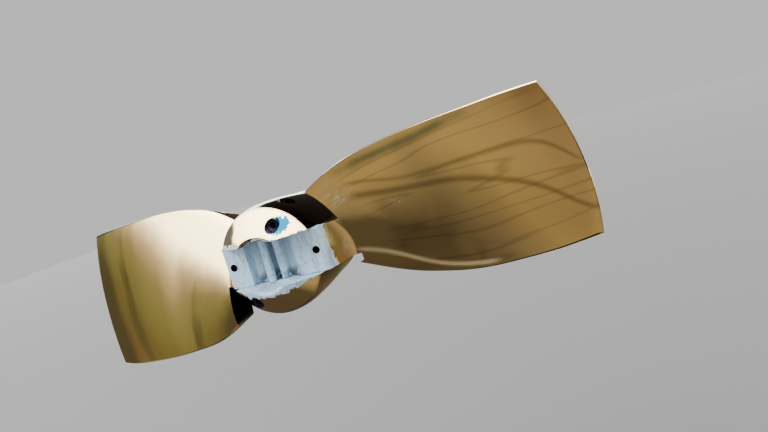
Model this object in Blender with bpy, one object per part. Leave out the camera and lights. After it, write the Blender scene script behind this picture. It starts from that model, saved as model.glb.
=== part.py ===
"""Two-blade geared folding boat propeller, blades open, modelled at its real size.

Frame: the origin lies on the shaft's axis in the hub's flat front face, +Y points forward
along the shaft, +X along the right blade and +Z up, along the two pivot pins.
The driving dimensions below are in millimetres and degrees; meshes are built in metres.
"""

import math

import bmesh
import bpy
from mathutils import Matrix, Vector

MM = 0.001

# Hub, a turned barrel with a domed aft end
PIN_SETBACK = 72.0          # hub's front face to the plane of the pivot pins
PIN_OFFSET = 14.1           # pivot pin's axis from the shaft's axis
HUB_RADIUS = 37.6           # widest place of the barrel
HUB_WIDEST_AFT = 6.5        # widest place, aft of the pins
HUB_EDGE_RADIUS = 36.3      # edge between the barrel and the aft dome
HUB_EDGE_AFT = 18.5
HUB_NECK_RADIUS = 34.3      # barrel level with the bolt, forward of the pins
HUB_NECK_FORWARD = 43.0
HUB_FRONT_RADIUS = 31.0
HUB_FRONT_CHAMFER = 2.0
DOME_RIM_AFT = 31.8         # rim of the access bore, aft of the pins
DOME_BULGE = 0.3            # 0 is a cone, 1 a full ellipse
ACCESS_BORE_RADIUS = 17.4
ACCESS_BORE_DEPTH = 19.3     # it ends just aft of the pivot pins
ACCESS_BORE_CHAMFER = 1.6
DOME_RIM_FLAT = 0.6         # flat ring between the dome and the access bore's chamfer
SLOT_WIDTH = 30.0
BOLT_RECESS_RADIUS = 15.0
BOLT_RECESS_DEPTH = 10.0
BOLT_WEB = 8.0              # wall that the shaft bolt clamps
SLEEVE_BORE_RADIUS = 20.0

# Blade root, the block that turns in the slot
ROOT_SIDE_CLEARANCE = 0.4
LAND_HEIGHT = 13.6          # flat land, aft of the pins
LAND_START_RIGHT = 0.7      # inner edge of the land, outward from the pin's axis
LAND_START_LEFT = 6.6
LAND_END = 25.4             # outer end of the land, from the pin's axis
LAND_CORNER = 4.0
LAND_HOLE_RADIUS = 2.6
LAND_HOLE_DEPTH = 6.5
LAND_HOLE_OUT = 18.3        # from the pin's axis
LAND_CORNER_TURN = 55.0     # degrees that the rounded outer corner turns
ROOT_END = 46.0             # root block's outer end, inside the blade, from the pin's axis
ROOT_DEPTH = 10.0           # block's thickness there
ROOT_FRONT = 16.0           # front side of the block where it leaves the slot, forward of the pins
ROOT_FRONT_OUT = 29.0       # that place, from the pin's axis
NECK_END = 37.0              # where the neck has run into the blade's face, from the pin
NECK_HOLLOW = 1.9           # how steeply the neck leaves the land; 1 is straight
NECK_SINK = 0.8             # neck's end under the blade's face
NECK_POINTS = 7
NECK_SLICES = 6             # across the slot
CORNER_STEPS = 4
HEEL_STEPS = 6
GROOVE_STEPS = 3

# Gear teeth on the two roots
TOOTH_COUNT = 7             # in a full turn
TOOTH_ADDENDUM = 3.2
TOOTH_DEDENDUM = 4.1
MESH_ADVANCE = 6.0          # left blade's first tooth stands this many degrees aft of the line of centres
PRESSURE_ANGLE = 25.0
TOOTH_BACKLASH = 0.6
FLANK_POINTS = 5
HEEL_CLEARANCE = 1.0        # plain heel behind the teeth, under the pitch circle
HEEL_GAP = 0.85             # groove before the first tooth, in tooth pitches from the tooth's middle
FLOOR_CLEARANCE = 1.4       # tooth tips to the slot's floor

# Blades
TIP_RADIUS = 203.5
TIP_SWEEP = 7.8             # leading corner reaches this much further than the trailing one
SWEEP_POWER = 3             # how late along the blade that sweep comes in
RELIEF_RADIUS = 36.3        # the face's inner border lies on this cylinder, clear of the hub's dome
RELIEF_FORWARD = 6.0        # its axis, forward of the pin's
CUFF_END = 60.0             # up to this radius the blade's thickness runs along the shaft
BLADE_START = 110.0         # and from this one square to the blade
FACE_HOLLOW = 0.012         # hollow of the pressure face, as a share of the chord
BACK_FULLNESS = 0.8         # shape of the back across the chord; 1 is a sine
NOSE_REACH = 1.2            # length of the rounded leading edge along the chord, over its depth
SPAN_STEPS = 24
CHORD_STEPS = 14
# radius, trailing edge angle and y, leading edge angle and y, thickness in the middle, at the
# trailing and at the leading edge, depth of the rounded nose; y is from the pins
STATIONS = (
    (30.0, 49.0, -27.5, -30.0, 14.5, 29.0, 25.0, 22.0, 9.0),
    (51.0, 44.8, -21.0, -30.0, 23.5, 28.0, 24.0, 19.0, 8.5),
    (78.0, 38.8, -13.0, -28.6, 33.0, 16.0, 5.0, 7.5, 5.0),
    (104.0, 32.3, -5.5, -25.2, 37.0, 11.0, 2.6, 3.0, 1.6),
    (130.0, 27.3, -1.5, -21.2, 36.7, 7.6, 1.9, 1.9, 0.0),
    (156.0, 23.4, 2.9, -17.1, 36.1, 5.6, 1.9, 1.9, 0.0),
    (180.0, 20.8, 9.5, -14.3, 40.5, 4.2, 1.9, 1.9, 0.0),
    (203.5, 18.6, 19.5, -11.9, 48.9, 3.0, 1.9, 1.9, 0.0),
)

# Pins and fasteners
PIN_RADIUS = 6.0
PIN_CLEARANCE = 0.25
PIN_RECESS = 1.6            # pin's end below the barrel
PIN_BLIND_WALL = 4.0        # wall left under the pin's far end
PIN_CHAMFER = 0.8
SCREW_HEIGHT = 23.6         # lock screw's axis over the hub's middle; it points at the pin's axis
SCREW_BITE = 2.0            # depth of its seat in the pin
SCREW_HOLE_RADIUS = 4.7
SCREW_RADIUS = 4.4
SCREW_RECESS = 1.6
SCREW_SOCKET = 4.4          # across corners
SCREW_SOCKET_DEPTH = 5.0
BOLT_HEAD_ACROSS = 24.0     # across corners
BOLT_HEAD_HEIGHT = 7.0
BOLT_RADIUS = 6.5
BOLT_LENGTH = 26.0
BOLT_CLEARANCE = 0.5
BOLT_OVERLAP = 1.0          # shank's run inside the head, which makes them one piece
WASHER_RADIUS = 14.4
WASHER_THICKNESS = 2.2
SLEEVE_WALL = 3.4
SLEEVE_RECESS = 1.5
SPLINE_COUNT = 15
SPLINE_HEIGHT = 1.6
SPLINE_SHARE = 0.9          # of each half pitch that is flat; the rest is the spline's flank

SEAT_GAP = 0.3              # between pieces that touch
SHARP_ANGLE = 32.0          # edges bent more than this stay sharp
ROUND_STEPS = 72
SMALL_STEPS = 32
BARREL_STEPS = 7            # along each stretch of the barrel
DOME_STEPS = 6
HALVINGS = 30
CUT_MARGIN = 5.0            # how far a cutter runs past what it cuts

PIN_Y = -PIN_SETBACK
PITCH_RADIUS = PIN_OFFSET
TIP_CIRCLE = PITCH_RADIUS + TOOTH_ADDENDUM
ROOT_CIRCLE = PITCH_RADIUS - TOOTH_DEDENDUM
BASE_CIRCLE = PITCH_RADIUS * math.cos(math.radians(PRESSURE_ANGLE))
SLOT_FLOOR_Y = PIN_Y + TIP_CIRCLE + FLOOR_CLEARANCE
ROOT_HALF_WIDTH = SLOT_WIDTH / 2 - ROOT_SIDE_CLEARANCE
WEB_AFT_Y = SLOT_FLOOR_Y + BOLT_RECESS_DEPTH
WEB_FRONT_Y = WEB_AFT_Y + BOLT_WEB


def clear_scene():
    """Empty the file that the script runs in."""
    for obj in list(bpy.data.objects):
        bpy.data.objects.remove(obj, do_unlink=True)


def material(name, colour, roughness, metallic=1.0):
    mat = bpy.data.materials.new(name)
    mat.use_nodes = True
    shader = mat.node_tree.nodes["Principled BSDF"]
    shader.inputs["Base Color"].default_value = (*colour, 1.0)
    shader.inputs["Roughness"].default_value = roughness
    shader.inputs["Metallic"].default_value = metallic
    return mat


def add_object(name, bm, mat=None, origin=(0.0, 0.0, 0.0)):
    """Turn a bmesh in millimetres into an object whose origin is at the given point."""
    bmesh.ops.recalc_face_normals(bm, faces=bm.faces)
    bmesh.ops.transform(bm, matrix=Matrix.Scale(MM, 4) @ Matrix.Translation(-Vector(origin)), verts=bm.verts)
    mesh = bpy.data.meshes.new(name)
    bm.to_mesh(mesh)
    bm.free()
    obj = bpy.data.objects.new(name, mesh)
    bpy.context.collection.objects.link(obj)
    obj.location = Vector(origin) * MM
    if mat:
        mesh.materials.append(mat)
        mesh.shade_smooth()
        mesh.set_sharp_from_angle(angle=math.radians(SHARP_ANGLE))
    return obj


def extruded(points, low, high):
    """Prism over a closed outline of (x, y) points, from height low to high along Z."""
    bm = bmesh.new()
    base = [bm.verts.new((x, y, low)) for x, y in points]
    face = bm.faces.new(base)
    grown = bmesh.ops.extrude_face_region(bm, geom=[face])
    top = [item for item in grown["geom"] if isinstance(item, bmesh.types.BMVert)]
    bmesh.ops.translate(bm, verts=top, vec=(0.0, 0.0, high - low))
    return bm


def turned(profile, steps):
    """Solid of revolution about the Y axis, from (radius, y) points; its two ends are flat."""
    bm = bmesh.new()
    turns = [2 * math.pi * (k + 0.5) / steps for k in range(steps)]
    rings = []
    for radius, y in profile:
        rings.append([bm.verts.new((radius * math.cos(a), y, radius * math.sin(a))) for a in turns])
    for low, high in zip(rings, rings[1:]):
        for k in range(steps):
            after = (k + 1) % steps
            bm.faces.new((low[k], high[k], high[after], low[after]))
    bm.faces.new(rings[0])
    bm.faces.new(rings[-1])
    return bm


def rod(radius, low, high, steps, axis="Z"):
    """Cylinder about the Z or the Y axis through the origin."""
    bm = turned(((radius, low), (radius, high)), steps)
    if axis == "Z":
        bmesh.ops.rotate(bm, verts=bm.verts, matrix=Matrix.Rotation(math.radians(90.0), 3, "X"))
    return bm


def moved(bm, x, y, z):
    bmesh.ops.translate(bm, verts=bm.verts, vec=(x, y, z))
    return bm


def block(x_range, y_range, z_range):
    (x_low, x_high), (y_low, y_high) = x_range, y_range
    return extruded([(x_low, y_low), (x_high, y_low), (x_high, y_high), (x_low, y_high)], *z_range)


def combine(obj, other_bm, operation):
    """Boolean of an object with a helper shape, applied so that the helper can go."""
    helper = add_object(obj.name + "_cutter", other_bm)
    helper.hide_render = True
    helper.display_type = "WIRE"
    modifier = obj.modifiers.new("Boolean", "BOOLEAN")
    modifier.operation = operation
    modifier.solver = "EXACT"
    modifier.object = helper
    bpy.context.view_layer.update()
    evaluated = obj.evaluated_get(bpy.context.evaluated_depsgraph_get())
    mesh = bpy.data.meshes.new_from_object(evaluated)
    old = obj.data
    obj.modifiers.clear()
    obj.data = mesh
    bpy.data.meshes.remove(old)
    mesh.name = obj.name
    bpy.data.objects.remove(helper, do_unlink=True)


def arc(centre, radius, start, end, steps):
    """Points on an arc in the plan, angles in degrees."""
    angles = [math.radians(start + (end - start) * k / steps) for k in range(steps + 1)]
    return [(centre[0] + radius * math.cos(a), centre[1] + radius * math.sin(a)) for a in angles]


def sided(bm, left):
    """A right-hand shape, or its left-hand partner: the same shape turned half round the shaft."""
    if left:
        bmesh.ops.rotate(bm, verts=bm.verts, matrix=Matrix.Rotation(math.pi, 3, "Y"))
    return bm


def dome_points(steps):
    """Aft dome from the barrel's edge to the rim of the access bore, a quarter ellipse in part."""
    rim_radius = ACCESS_BORE_RADIUS + ACCESS_BORE_CHAMFER + DOME_RIM_FLAT
    rise = DOME_RIM_AFT - HUB_EDGE_AFT
    points = []
    for k in range(steps + 1):
        share = k / steps
        radius = HUB_EDGE_RADIUS + (rim_radius - HUB_EDGE_RADIUS) * share
        drop = (1 - DOME_BULGE) * share + DOME_BULGE * math.sin(share * math.pi / 2)
        points.append((radius, PIN_Y - HUB_EDGE_AFT - rise * drop))
    return points


def barrel_points(steps):
    """Barrel from the front chamfer to the dome's edge, smooth through its named radii."""
    knots = [
        (-HUB_FRONT_CHAMFER, HUB_FRONT_RADIUS),
        (PIN_Y + HUB_NECK_FORWARD, HUB_NECK_RADIUS),
        (PIN_Y - HUB_WIDEST_AFT, HUB_RADIUS),
        (PIN_Y - HUB_EDGE_AFT, HUB_EDGE_RADIUS),
    ]
    points = []
    for (y_a, r_a), (y_b, r_b) in zip(knots, knots[1:]):
        for k in range(steps):
            share = k / steps
            ease = math.sin(share * math.pi / 2) if r_b > r_a else 1 - math.cos(share * math.pi / 2)
            points.append((r_a + (r_b - r_a) * ease, y_a + (y_b - y_a) * share))
    return points


def barrel_radius(y):
    """Radius of the barrel at a place along the shaft."""
    points = barrel_points(BARREL_STEPS) + dome_points(DOME_STEPS)
    for (r_a, y_a), (r_b, y_b) in zip(points, points[1:]):
        if y_b <= y <= y_a:
            return r_a + (r_b - r_a) * (y - y_a) / (y_b - y_a)
    return HUB_FRONT_RADIUS


def pin_ends():
    """Low and high end of the right pin; it goes in from above and its hole is blind below."""
    reach = math.sqrt(barrel_radius(PIN_Y) ** 2 - (PIN_OFFSET + PIN_RADIUS) ** 2)
    return -(reach - PIN_BLIND_WALL), reach - PIN_RECESS


def screw_ends():
    """Aft and front end of the lock screw, from just under the dome to its seat in the pin."""
    out = math.hypot(PIN_OFFSET, SCREW_HEIGHT)
    dome = dome_points(DOME_STEPS)
    for (r_a, y_a), (r_b, y_b) in zip(dome, dome[1:]):
        if r_b <= out <= r_a:
            surface = y_a + (y_b - y_a) * (r_a - out) / (r_a - r_b)
    return surface + SCREW_RECESS, PIN_Y - PIN_RADIUS + SCREW_BITE - SEAT_GAP


def make_hub(mat):
    profile = [(HUB_FRONT_RADIUS - HUB_FRONT_CHAMFER, 0.0)]
    profile += barrel_points(BARREL_STEPS) + dome_points(DOME_STEPS)
    hub = add_object("hub", turned(profile, ROUND_STEPS), mat)
    aft = PIN_Y - DOME_RIM_AFT - CUT_MARGIN
    side = HUB_RADIUS + CUT_MARGIN
    access = [
        (ACCESS_BORE_RADIUS, PIN_Y - DOME_RIM_AFT + ACCESS_BORE_DEPTH),
        (ACCESS_BORE_RADIUS, PIN_Y - DOME_RIM_AFT + ACCESS_BORE_CHAMFER),
        (ACCESS_BORE_RADIUS + ACCESS_BORE_CHAMFER + CUT_MARGIN, aft),
    ]
    combine(hub, turned(access, ROUND_STEPS), "DIFFERENCE")
    combine(hub, block((-side, side), (aft, SLOT_FLOOR_Y), (-SLOT_WIDTH / 2, SLOT_WIDTH / 2)), "DIFFERENCE")
    recess = rod(BOLT_RECESS_RADIUS, SLOT_FLOOR_Y - CUT_MARGIN, WEB_AFT_Y, ROUND_STEPS, "Y")
    combine(hub, recess, "DIFFERENCE")
    bolt_hole = BOLT_RADIUS + BOLT_CLEARANCE
    hole = rod(bolt_hole, WEB_AFT_Y - CUT_MARGIN, WEB_FRONT_Y + CUT_MARGIN, SMALL_STEPS, "Y")
    combine(hub, hole, "DIFFERENCE")
    combine(hub, rod(SLEEVE_BORE_RADIUS, WEB_FRONT_Y, CUT_MARGIN, ROUND_STEPS, "Y"), "DIFFERENCE")
    low, high = pin_ends()
    for left in (False, True):
        pin_hole = rod(PIN_RADIUS + PIN_CLEARANCE, low - SEAT_GAP, HUB_RADIUS + CUT_MARGIN, SMALL_STEPS)
        moved(pin_hole, PIN_OFFSET, PIN_Y, 0.0)
        screw_hole = rod(SCREW_HOLE_RADIUS, aft, PIN_Y, SMALL_STEPS, "Y")
        moved(screw_hole, PIN_OFFSET, 0.0, SCREW_HEIGHT)
        for cutter in (pin_hole, screw_hole):
            combine(hub, sided(cutter, left), "DIFFERENCE")
    return hub


def involute(radius):
    """Angle, round the gear's centre, that the involute has turned through at a radius."""
    unwound = math.acos(min(1.0, BASE_CIRCLE / radius))
    return math.tan(unwound) - unwound


def involute_flank(sign, centre_angle):
    """One tooth flank from the root circle to the tip circle, as (radius, angle) points."""
    half_tooth = math.pi / TOOTH_COUNT / 2 - TOOTH_BACKLASH / 2 / PITCH_RADIUS + involute(PITCH_RADIUS)
    start = max(BASE_CIRCLE, ROOT_CIRCLE)
    points = [(ROOT_CIRCLE, half_tooth)] if ROOT_CIRCLE < BASE_CIRCLE else []
    for k in range(FLANK_POINTS):
        radius = start + (TIP_CIRCLE - start) * k / (FLANK_POINTS - 1)
        points.append((radius, half_tooth - involute(radius)))
    return [(radius, centre_angle + sign * angle) for radius, angle in points]


def tooth_points(centre_angle):
    """A tooth's outline round the right pin, in the direction of rising angle."""
    rising = involute_flank(-1, centre_angle)
    falling = list(reversed(involute_flank(1, centre_angle)))
    return [(PIN_OFFSET + r * math.cos(a), PIN_Y + r * math.sin(a)) for r, a in rising + falling]


def root_outline(first_tooth, land_start, z):
    """Plan of the right root block at a height, anticlockwise from its outer front corner.

    first_tooth is the first tooth's angle round the pin; 180 degrees is the line of centres and
    270 points aft. Two whole teeth stand there, then comes a groove up to the land's inner edge.
    """
    centre = (PIN_OFFSET, PIN_Y)
    pitch = 360.0 / TOOTH_COUNT
    land_y = PIN_Y - LAND_HEIGHT
    heel = PITCH_RADIUS - HEEL_CLEARANCE
    end = PIN_OFFSET + ROOT_END
    outline = [(end, face_y(end, z) + ROOT_DEPTH), (PIN_OFFSET + ROOT_FRONT_OUT, PIN_Y + ROOT_FRONT)]
    heel_end = first_tooth - HEEL_GAP * pitch
    outline += arc(centre, heel, 90.0, heel_end, HEEL_STEPS)
    outline += arc(centre, ROOT_CIRCLE, heel_end, first_tooth - pitch / 2, GROOVE_STEPS)
    for index in (0, 1):
        outline += tooth_points(math.radians(first_tooth + pitch * index))
    groove_end = 270.0 + math.degrees(math.asin(land_start / ROOT_CIRCLE))
    groove_start = min(first_tooth + 1.5 * pitch, groove_end - 1.0)
    outline += arc(centre, ROOT_CIRCLE, groove_start, groove_end, GROOVE_STEPS)
    outline.append((PIN_OFFSET + land_start, land_y))
    corner = (PIN_OFFSET + LAND_END - LAND_CORNER, land_y + LAND_CORNER)
    outline += arc(corner, LAND_CORNER, -90.0, -90.0 + LAND_CORNER_TURN, CORNER_STEPS)
    return outline + neck_points(outline[-1], z)


def neck_points(start, z):
    """Hollow curve from the land's rounded corner to the blade's face: it leaves steeply and lands level."""
    drop = face_y(start[0], z) - start[1]
    points = []
    for k in range(1, NECK_POINTS + 1):
        share = k / NECK_POINTS
        x = start[0] + (PIN_OFFSET + ROOT_END - start[0]) * share
        to_face = max(0.0, (PIN_OFFSET + NECK_END - x) / (PIN_OFFSET + NECK_END - start[0]))
        points.append((x, face_y(x, z) + NECK_SINK * share - drop * to_face**NECK_HOLLOW))
    return points


def root_block(first_tooth, land_start):
    """Right root block: its plan carried across the slot, with a neck that follows the slanting face."""
    bm = bmesh.new()
    rings = []
    for k in range(NECK_SLICES + 1):
        z = ROOT_HALF_WIDTH * (2 * k / NECK_SLICES - 1)
        rings.append([bm.verts.new((x, y, z)) for x, y in root_outline(first_tooth, land_start, z)])
    count = len(rings[0])
    for low, high in zip(rings, rings[1:]):
        for k in range(count):
            after = (k + 1) % count
            bm.faces.new((low[k], low[after], high[after], high[k]))
    bm.faces.new(rings[0])
    bm.faces.new(rings[-1])
    return bm


def blend(radius, column):
    """Smooth value of one column of the stations at a radius: a cubic through the station values."""
    knots = [row[0] for row in STATIONS]
    values = [row[column] for row in STATIONS]
    index = max(0, min(len(knots) - 2, sum(1 for knot in knots[1:-1] if radius >= knot)))

    def slope(k):
        low, high = max(0, k - 1), min(len(knots) - 1, k + 1)
        return (values[high] - values[low]) / (knots[high] - knots[low])

    width = knots[index + 1] - knots[index]
    t = (radius - knots[index]) / width
    a, b = values[index], values[index + 1]
    m_a, m_b = slope(index) * width, slope(index + 1) * width
    rise = 3 * t**2 - 2 * t**3
    return (1 - rise) * a + rise * b + (t**3 - 2 * t**2 + t) * m_a + (t**3 - t**2) * m_b


def blade_point(radius, u, side):
    """Point of the right blade's face or back, u of the way from the trailing to the leading edge.

    A section lies on a cylinder about the shaft. The back stands off the section's straight line
    by the blade's thickness, along the shaft in the cuff and square to the line further out.
    """
    station = min(radius * STATIONS[-1][0] / TIP_RADIUS, STATIONS[-1][0])
    te_angle, te_y, le_angle, le_y, middle, te_edge, le_edge, nose = (blend(station, c) for c in range(1, 9))
    width = math.radians(te_angle - le_angle) * radius
    chord = math.hypot(width, le_y - te_y)
    bulge = math.sin(math.pi * u)
    offset = FACE_HOLLOW * chord * bulge
    rounding = 0.0
    if side == "back":
        edge = te_edge + (le_edge - te_edge) * u
        offset = edge + (middle - (te_edge + le_edge) / 2) * bulge**BACK_FULLNESS
    elif nose > 0:
        into = max(0.0, 1 - (1 - u) * chord / (nose * NOSE_REACH))
        rounding = nose * (1 - math.sqrt(1 - into * into))
    out = max(0.0, min(1.0, (radius - CUFF_END) / (BLADE_START - CUFF_END)))
    lean = math.atan2(le_y - te_y, width) * out * out * (3 - 2 * out)
    angle = math.radians(te_angle + (le_angle - te_angle) * u) + offset * math.sin(lean) / radius
    y = PIN_Y + te_y + (le_y - te_y) * u + offset * math.cos(lean) + rounding
    swept = radius + TIP_SWEEP * (u - 0.5) * (radius / TIP_RADIUS) ** SWEEP_POWER
    return swept * math.cos(angle), y, swept * math.sin(angle)


def face_y(x, z):
    """The blade's face over a place in the cuff, where the thickness runs along the shaft."""
    radius = math.hypot(x, z)
    te_angle, le_angle = blend(radius, 1), blend(radius, 3)
    return blade_point(radius, (te_angle - math.degrees(math.atan2(z, x))) / (te_angle - le_angle), "face")[1]


def inner_radius(u):
    """Radius at which the face meets the relief cylinder, found by halving the stretch it lies in."""
    low, high = STATIONS[0][0], STATIONS[2][0]
    for _ in range(HALVINGS):
        middle = (low + high) / 2
        x, y, _ = blade_point(middle, u, "face")
        if math.hypot(x - PIN_OFFSET, y - PIN_Y - RELIEF_FORWARD) < RELIEF_RADIUS:
            low = middle
        else:
            high = middle
    return high


def blade_loft():
    """Right blade from its inner wall, which runs along the shaft, to the tip."""
    steps = [(1 - math.cos(math.pi * k / CHORD_STEPS)) / 2 for k in range(CHORD_STEPS + 1)]
    starts = [inner_radius(u) for u in steps]
    bm = bmesh.new()
    rings = []
    for k in range(SPAN_STEPS + 1):
        radii = [start + (TIP_RADIUS - start) * k / SPAN_STEPS for start in starts]
        face = [blade_point(radius, u, "face") for radius, u in zip(radii, steps)]
        back = [blade_point(radius, u, "back") for radius, u in zip(radii, steps)]
        rings.append([bm.verts.new(point) for point in face + back[::-1]])
    count = len(rings[0])
    for low, high in zip(rings, rings[1:]):
        for k in range(count):
            after = (k + 1) % count
            bm.faces.new((low[k], low[after], high[after], high[k]))
    for ring in (rings[0], rings[-1]):
        for k in range(CHORD_STEPS):
            bm.faces.new((ring[k], ring[k + 1], ring[count - 2 - k], ring[count - 1 - k]))
    return bm


def make_blade(name, first_tooth, land_start, left, mat):
    """Blade with its toothed root; the left one is the right one turned half round the shaft."""
    blade = add_object(name, sided(blade_loft(), left), mat)
    combine(blade, sided(root_block(first_tooth, land_start), left), "UNION")
    bore = rod(PIN_RADIUS + PIN_CLEARANCE, -SLOT_WIDTH, SLOT_WIDTH, SMALL_STEPS)
    combine(blade, sided(moved(bore, PIN_OFFSET, PIN_Y, 0.0), left), "DIFFERENCE")
    land_y = PIN_Y - LAND_HEIGHT
    hole = rod(LAND_HOLE_RADIUS, land_y - CUT_MARGIN, land_y + LAND_HOLE_DEPTH, SMALL_STEPS // 2, "Y")
    combine(blade, sided(moved(hole, PIN_OFFSET + LAND_HOLE_OUT, 0.0, 0.0), left), "DIFFERENCE")
    side = -1.0 if left else 1.0
    move_origin(blade, (side * PIN_OFFSET, PIN_Y, 0.0))
    return blade


def move_origin(obj, origin):
    """Put an object's origin on its joint axis and leave its surface where it is."""
    shift = Vector(origin) * MM - obj.location
    obj.data.transform(Matrix.Translation(-shift))
    obj.location = Vector(origin) * MM
    obj.data.shade_smooth()
    obj.data.set_sharp_from_angle(angle=math.radians(SHARP_ANGLE))


def make_pin(name, left, mat):
    low, high = pin_ends()
    profile = ((PIN_RADIUS - PIN_CHAMFER, low), (PIN_RADIUS, low + PIN_CHAMFER),
               (PIN_RADIUS, high - PIN_CHAMFER), (PIN_RADIUS - PIN_CHAMFER, high))
    bm = turned(profile, SMALL_STEPS)
    bmesh.ops.rotate(bm, verts=bm.verts, matrix=Matrix.Rotation(math.radians(90.0), 3, "X"))
    pin = add_object(name, sided(moved(bm, PIN_OFFSET, PIN_Y, 0.0), left), mat)
    edge = PIN_Y - PIN_RADIUS
    seat = rod(SCREW_RADIUS + SEAT_GAP, edge - CUT_MARGIN, edge + SCREW_BITE, SMALL_STEPS, "Y")
    combine(pin, sided(moved(seat, PIN_OFFSET, 0.0, SCREW_HEIGHT), left), "DIFFERENCE")
    return pin


def make_lock_screw(name, left, mat):
    aft, front = screw_ends()
    body = moved(rod(SCREW_RADIUS, aft, front, SMALL_STEPS, "Y"), PIN_OFFSET, 0.0, SCREW_HEIGHT)
    screw = add_object(name, sided(body, left), mat)
    socket = rod(SCREW_SOCKET / 2, aft - CUT_MARGIN, aft + SCREW_SOCKET_DEPTH, 6, "Y")
    combine(screw, sided(moved(socket, PIN_OFFSET, 0.0, SCREW_HEIGHT), left), "DIFFERENCE")
    return screw


def make_shaft_bolt(mat):
    """Bolt that draws the hub onto the shaft; its head sits in the recess under the gear teeth."""
    seat = WEB_AFT_Y - SEAT_GAP - WASHER_THICKNESS - SEAT_GAP
    bolt = add_object("shaft_bolt", rod(BOLT_HEAD_ACROSS / 2, seat - BOLT_HEAD_HEIGHT, seat, 6, "Y"), mat)
    combine(bolt, rod(BOLT_RADIUS, seat - BOLT_OVERLAP, seat + BOLT_LENGTH, SMALL_STEPS, "Y"), "UNION")
    return bolt


def make_washer(mat):
    low, high = WEB_AFT_Y - SEAT_GAP - WASHER_THICKNESS, WEB_AFT_Y - SEAT_GAP
    washer = add_object("bolt_washer", rod(WASHER_RADIUS, low, high, ROUND_STEPS, "Y"), mat)
    hole = rod(BOLT_RADIUS + SEAT_GAP, low - CUT_MARGIN, high + CUT_MARGIN, SMALL_STEPS, "Y")
    combine(washer, hole, "DIFFERENCE")
    return washer


def make_sleeve(mat):
    """Splined sleeve that takes the shaft, seated in the hub's front bore."""
    outer = SLEEVE_BORE_RADIUS - SEAT_GAP
    inner = outer - SLEEVE_WALL
    low, high = WEB_FRONT_Y + SEAT_GAP, -SLEEVE_RECESS
    sleeve = add_object("spline_sleeve", rod(outer, low, high, ROUND_STEPS, "Y"), mat)
    outline = []
    half = 180.0 / SPLINE_COUNT
    for k in range(SPLINE_COUNT):
        start = 2 * half * k
        outline += arc((0.0, 0.0), inner, start, start + half * SPLINE_SHARE, 2)
        outline += arc((0.0, 0.0), inner - SPLINE_HEIGHT, start + half, start + half * (1 + SPLINE_SHARE), 2)
    bore = extruded(outline, low - CUT_MARGIN, high + CUT_MARGIN)
    bmesh.ops.rotate(bore, verts=bore.verts, matrix=Matrix.Rotation(math.radians(-90.0), 3, "X"))
    combine(sleeve, bore, "DIFFERENCE")
    return sleeve


def main():
    clear_scene()
    bronze = material("polished_bronze", (0.62, 0.44, 0.20), 0.12)
    steel = material("stainless_steel", (0.62, 0.62, 0.62), 0.25)
    dark_steel = material("dark_steel", (0.18, 0.18, 0.2), 0.4)
    make_hub(bronze)
    left_tooth = 180.0 + MESH_ADVANCE
    make_blade("blade_right", left_tooth - 180.0 / TOOTH_COUNT, LAND_START_RIGHT, False, bronze)
    make_blade("blade_left", left_tooth, LAND_START_LEFT, True, bronze)
    make_pin("pivot_pin_right", False, steel)
    make_pin("pivot_pin_left", True, steel)
    make_lock_screw("lock_screw_right", False, dark_steel)
    make_lock_screw("lock_screw_left", True, dark_steel)
    make_shaft_bolt(steel)
    make_washer(steel)
    make_sleeve(steel)


main()
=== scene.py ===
"""Looks of the two-blade geared folding boat propeller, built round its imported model.

Sizes below are in millimetres and degrees, in the part's frame: origin in the hub's flat front
face, +Y forward along the shaft, +X along the right blade, +Z up along the pivot pins.
"""

import math

import bmesh
import bpy
import numpy as np
from mathutils import Matrix


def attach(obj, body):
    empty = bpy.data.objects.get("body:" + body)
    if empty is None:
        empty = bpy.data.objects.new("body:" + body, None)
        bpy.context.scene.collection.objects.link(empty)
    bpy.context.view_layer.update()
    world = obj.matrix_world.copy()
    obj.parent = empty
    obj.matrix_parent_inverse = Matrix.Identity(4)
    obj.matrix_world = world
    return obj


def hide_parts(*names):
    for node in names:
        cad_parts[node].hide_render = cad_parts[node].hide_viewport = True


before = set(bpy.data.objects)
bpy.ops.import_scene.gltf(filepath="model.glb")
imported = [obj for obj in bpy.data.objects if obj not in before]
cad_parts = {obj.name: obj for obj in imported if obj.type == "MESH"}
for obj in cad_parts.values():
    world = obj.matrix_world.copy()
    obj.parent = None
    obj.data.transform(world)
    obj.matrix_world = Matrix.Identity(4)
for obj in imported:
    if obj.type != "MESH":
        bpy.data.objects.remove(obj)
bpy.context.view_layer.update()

MM = 0.001

# Hub, a turned barrel with a domed aft end
PIN_Y = -72.0
PIN_OFFSET = 14.1
HUB_RADIUS = 37.6
HUB_WIDEST_AFT = 6.5
HUB_EDGE_RADIUS = 36.3
HUB_EDGE_AFT = 18.5
HUB_NECK_RADIUS = 34.3
HUB_NECK_FORWARD = 43.0
HUB_FRONT_RADIUS = 31.0
HUB_FRONT_CHAMFER = 2.0
HUB_FRONT_FLAT = 6.0        # where the turned outline begins, inward from the front chamfer
DOME_RIM_AFT = 31.8
DOME_BULGE = 0.3
ACCESS_BORE_RADIUS = 17.4
ACCESS_BORE_DEPTH = 19.3
ACCESS_BORE_CHAMFER = 1.6
ACCESS_RIM_RADIUS = ACCESS_BORE_RADIUS + ACCESS_BORE_CHAMFER
DOME_RIM_FLAT = 0.6
SLOT_WIDTH = 30.0
SLOT_FLOOR_Y = -53.3
BOLT_RECESS_RADIUS = 14.9
BOLT_RECESS_DEPTH = 10.0
BOLT_WEB = 8.0
BOLT_HOLE_RADIUS = 7.0
SLEEVE_BORE_RADIUS = 20.0
PROFILE_SOFTNESS = 0.35     # spread of the rounding on the hub's turned edges
HUB_TURN_STEPS = 288
PROFILE_STEP = 0.45
PROFILE_POINTS = 60         # points on each stretch of the outline before it is evened out

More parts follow.
